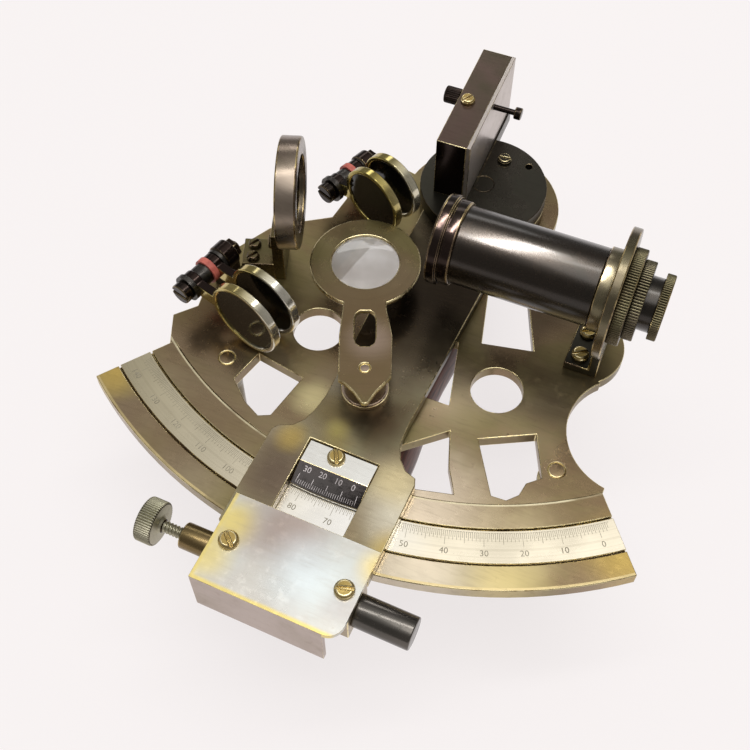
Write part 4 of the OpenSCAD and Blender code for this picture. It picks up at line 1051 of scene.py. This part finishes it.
def slope_height(points):
    """Height of the slope, and a hair above it, at points that are turned with the arm: it falls by
    slope_fall over slope_run, outward from slope_start."""
    outward = slope_start - (points @ turn_flat.T)[:, 1]
    return slope_top - slope_fall / slope_run * outward + hair


figures = [strokes(np.arange(-14, 15) * step, 103.9, 105.0, 0.05),
           strokes(np.arange(-2, 3) * long_every * step, 102.6, 105.0, 0.08)]
for text, x in (("30", -6.4), ("20", -2.2), ("10", 2.0), ("0", 6.0)):
    flat, faces = digits(text, 2.1)
    figures.append((flat + (x, -100.9), faces))
inked("vernier_divisions", "arm", [(p @ turn_flat, f) for p, f in figures], slope_height, chalk)
print("vernier figures:", len(figures) - 2)

# %% [markdown]
# ## Glass, mirror, steel and fibre
# The shades let almost nothing through, so they are a black gloss. The mirror is a bright metal
# under a clear coat. The magnifier's glass is a little milky with age. The other parts here are
# small or have their edges hidden in a rim, so they keep the CAD model's mesh and change only
# their finish.

# %% Glass, mirror, steel and fibre
def plain_gloss(name, first, second, rough, scale=120, **sockets):
    """Two near colours in clouds, with a roughness that changes on a finer scale."""
    f = Finish(name, **sockets)
    f.set(Base_Color=f.mix(f.ramp(f.noise(scale), 0.35, 0.65), first, second),
          Roughness=f.ramp(f.noise(scale * 3), 0.3, 0.7, *rough))
    f.bump(f.noise(scale * 4, 2), 0.00001, 0.4)
    return f.material


milky_glass = clear_glass("magnifier_glass", (190, 184, 178), 0.6)
lens("magnifier_lens", 8.97, lambda s: 0.1 + 0.02 * s, lambda s: 1.3 - 0.55 * s * s + 0.5 * (1 - s * s),
     on_magnifier @ shift(33.7, 0, 0), milky_glass, 96, 30)
others = {
    "optical_glass": lens_glass,
    "shade_glass": plain_gloss("shade_glass_black", (14, 11, 9), (20, 17, 13), (0.05, 0.12)),
    "mirror_glass": plain_gloss("mirror_silver", (206, 208, 208), (190, 192, 190), (0.03, 0.09), Metallic=1.0,
                                Coat_Weight=0.3),
    "steel": plain_gloss("grey_steel", (78, 75, 71), (60, 57, 54), (0.25, 0.4), 300, Metallic=1.0),
    "red_fibre": plain_gloss("red_fibre", (196, 104, 90), (166, 78, 66), (0.5, 0.7), 400),
}
print("other finishes:", len(others))

# %% [markdown]
# ## Half-silvered glass
# One half of the horizon glass is silvered and shows the sun or a star from the index mirror. The
# other half is clear, and the horizon is seen through it. So one ramp on the height changes the
# glass from metal to clear within a fifth of a millimetre. The loop below then gives every part
# that keeps its CAD mesh its finish.

# %% Half-silvered glass
half_silver = Finish("half_silvered_glass", IOR=1.5)
clear_part = half_silver.ramp(half_silver.apart(half_silver.point)["Z"], 0.0748, 0.0750)
half_silver.set(Base_Color=half_silver.mix(clear_part, (200, 202, 202), (236, 240, 240)),
                Transmission_Weight=clear_part, Metallic=half_silver.ramp(clear_part, 0, 1, 1, 0),
                Roughness=half_silver.ramp(half_silver.noise(90), 0.3, 0.7, 0.02, 0.04))
half_silver.bump(half_silver.noise(40, 1), 0.00001, 0.2)
for node, part in nodes.items():
    finish = half_silver.material if node == "horizon_glass" else others.get(slot_of.get(node))
    if node not in replaced and finish:
        part.data.materials.clear()
        part.data.materials.append(finish)
print("left as CAD:", [n for n in nodes if n not in replaced])

# %% [markdown]
# ## A streak for the tube
# The white band along the telescope comes from a bright strip, which would whiten the flat plates
# too. So this strip lamp is linked to the dark round parts alone.

# %% Lamp for the round parts
strip = soft_box("tube_box", (-0.12, 0.0, 0.93), tube_middle, 0.6, 0.09, 13.0)
round_parts = bpy.data.collections.new("round parts")
for node in ("telescope_tube", "objective_cell", "draw_tube"):
    round_parts.objects.link(bpy.data.objects[node + "_made"])
strip.light_linking.receiver_collection = round_parts

# %% [markdown]
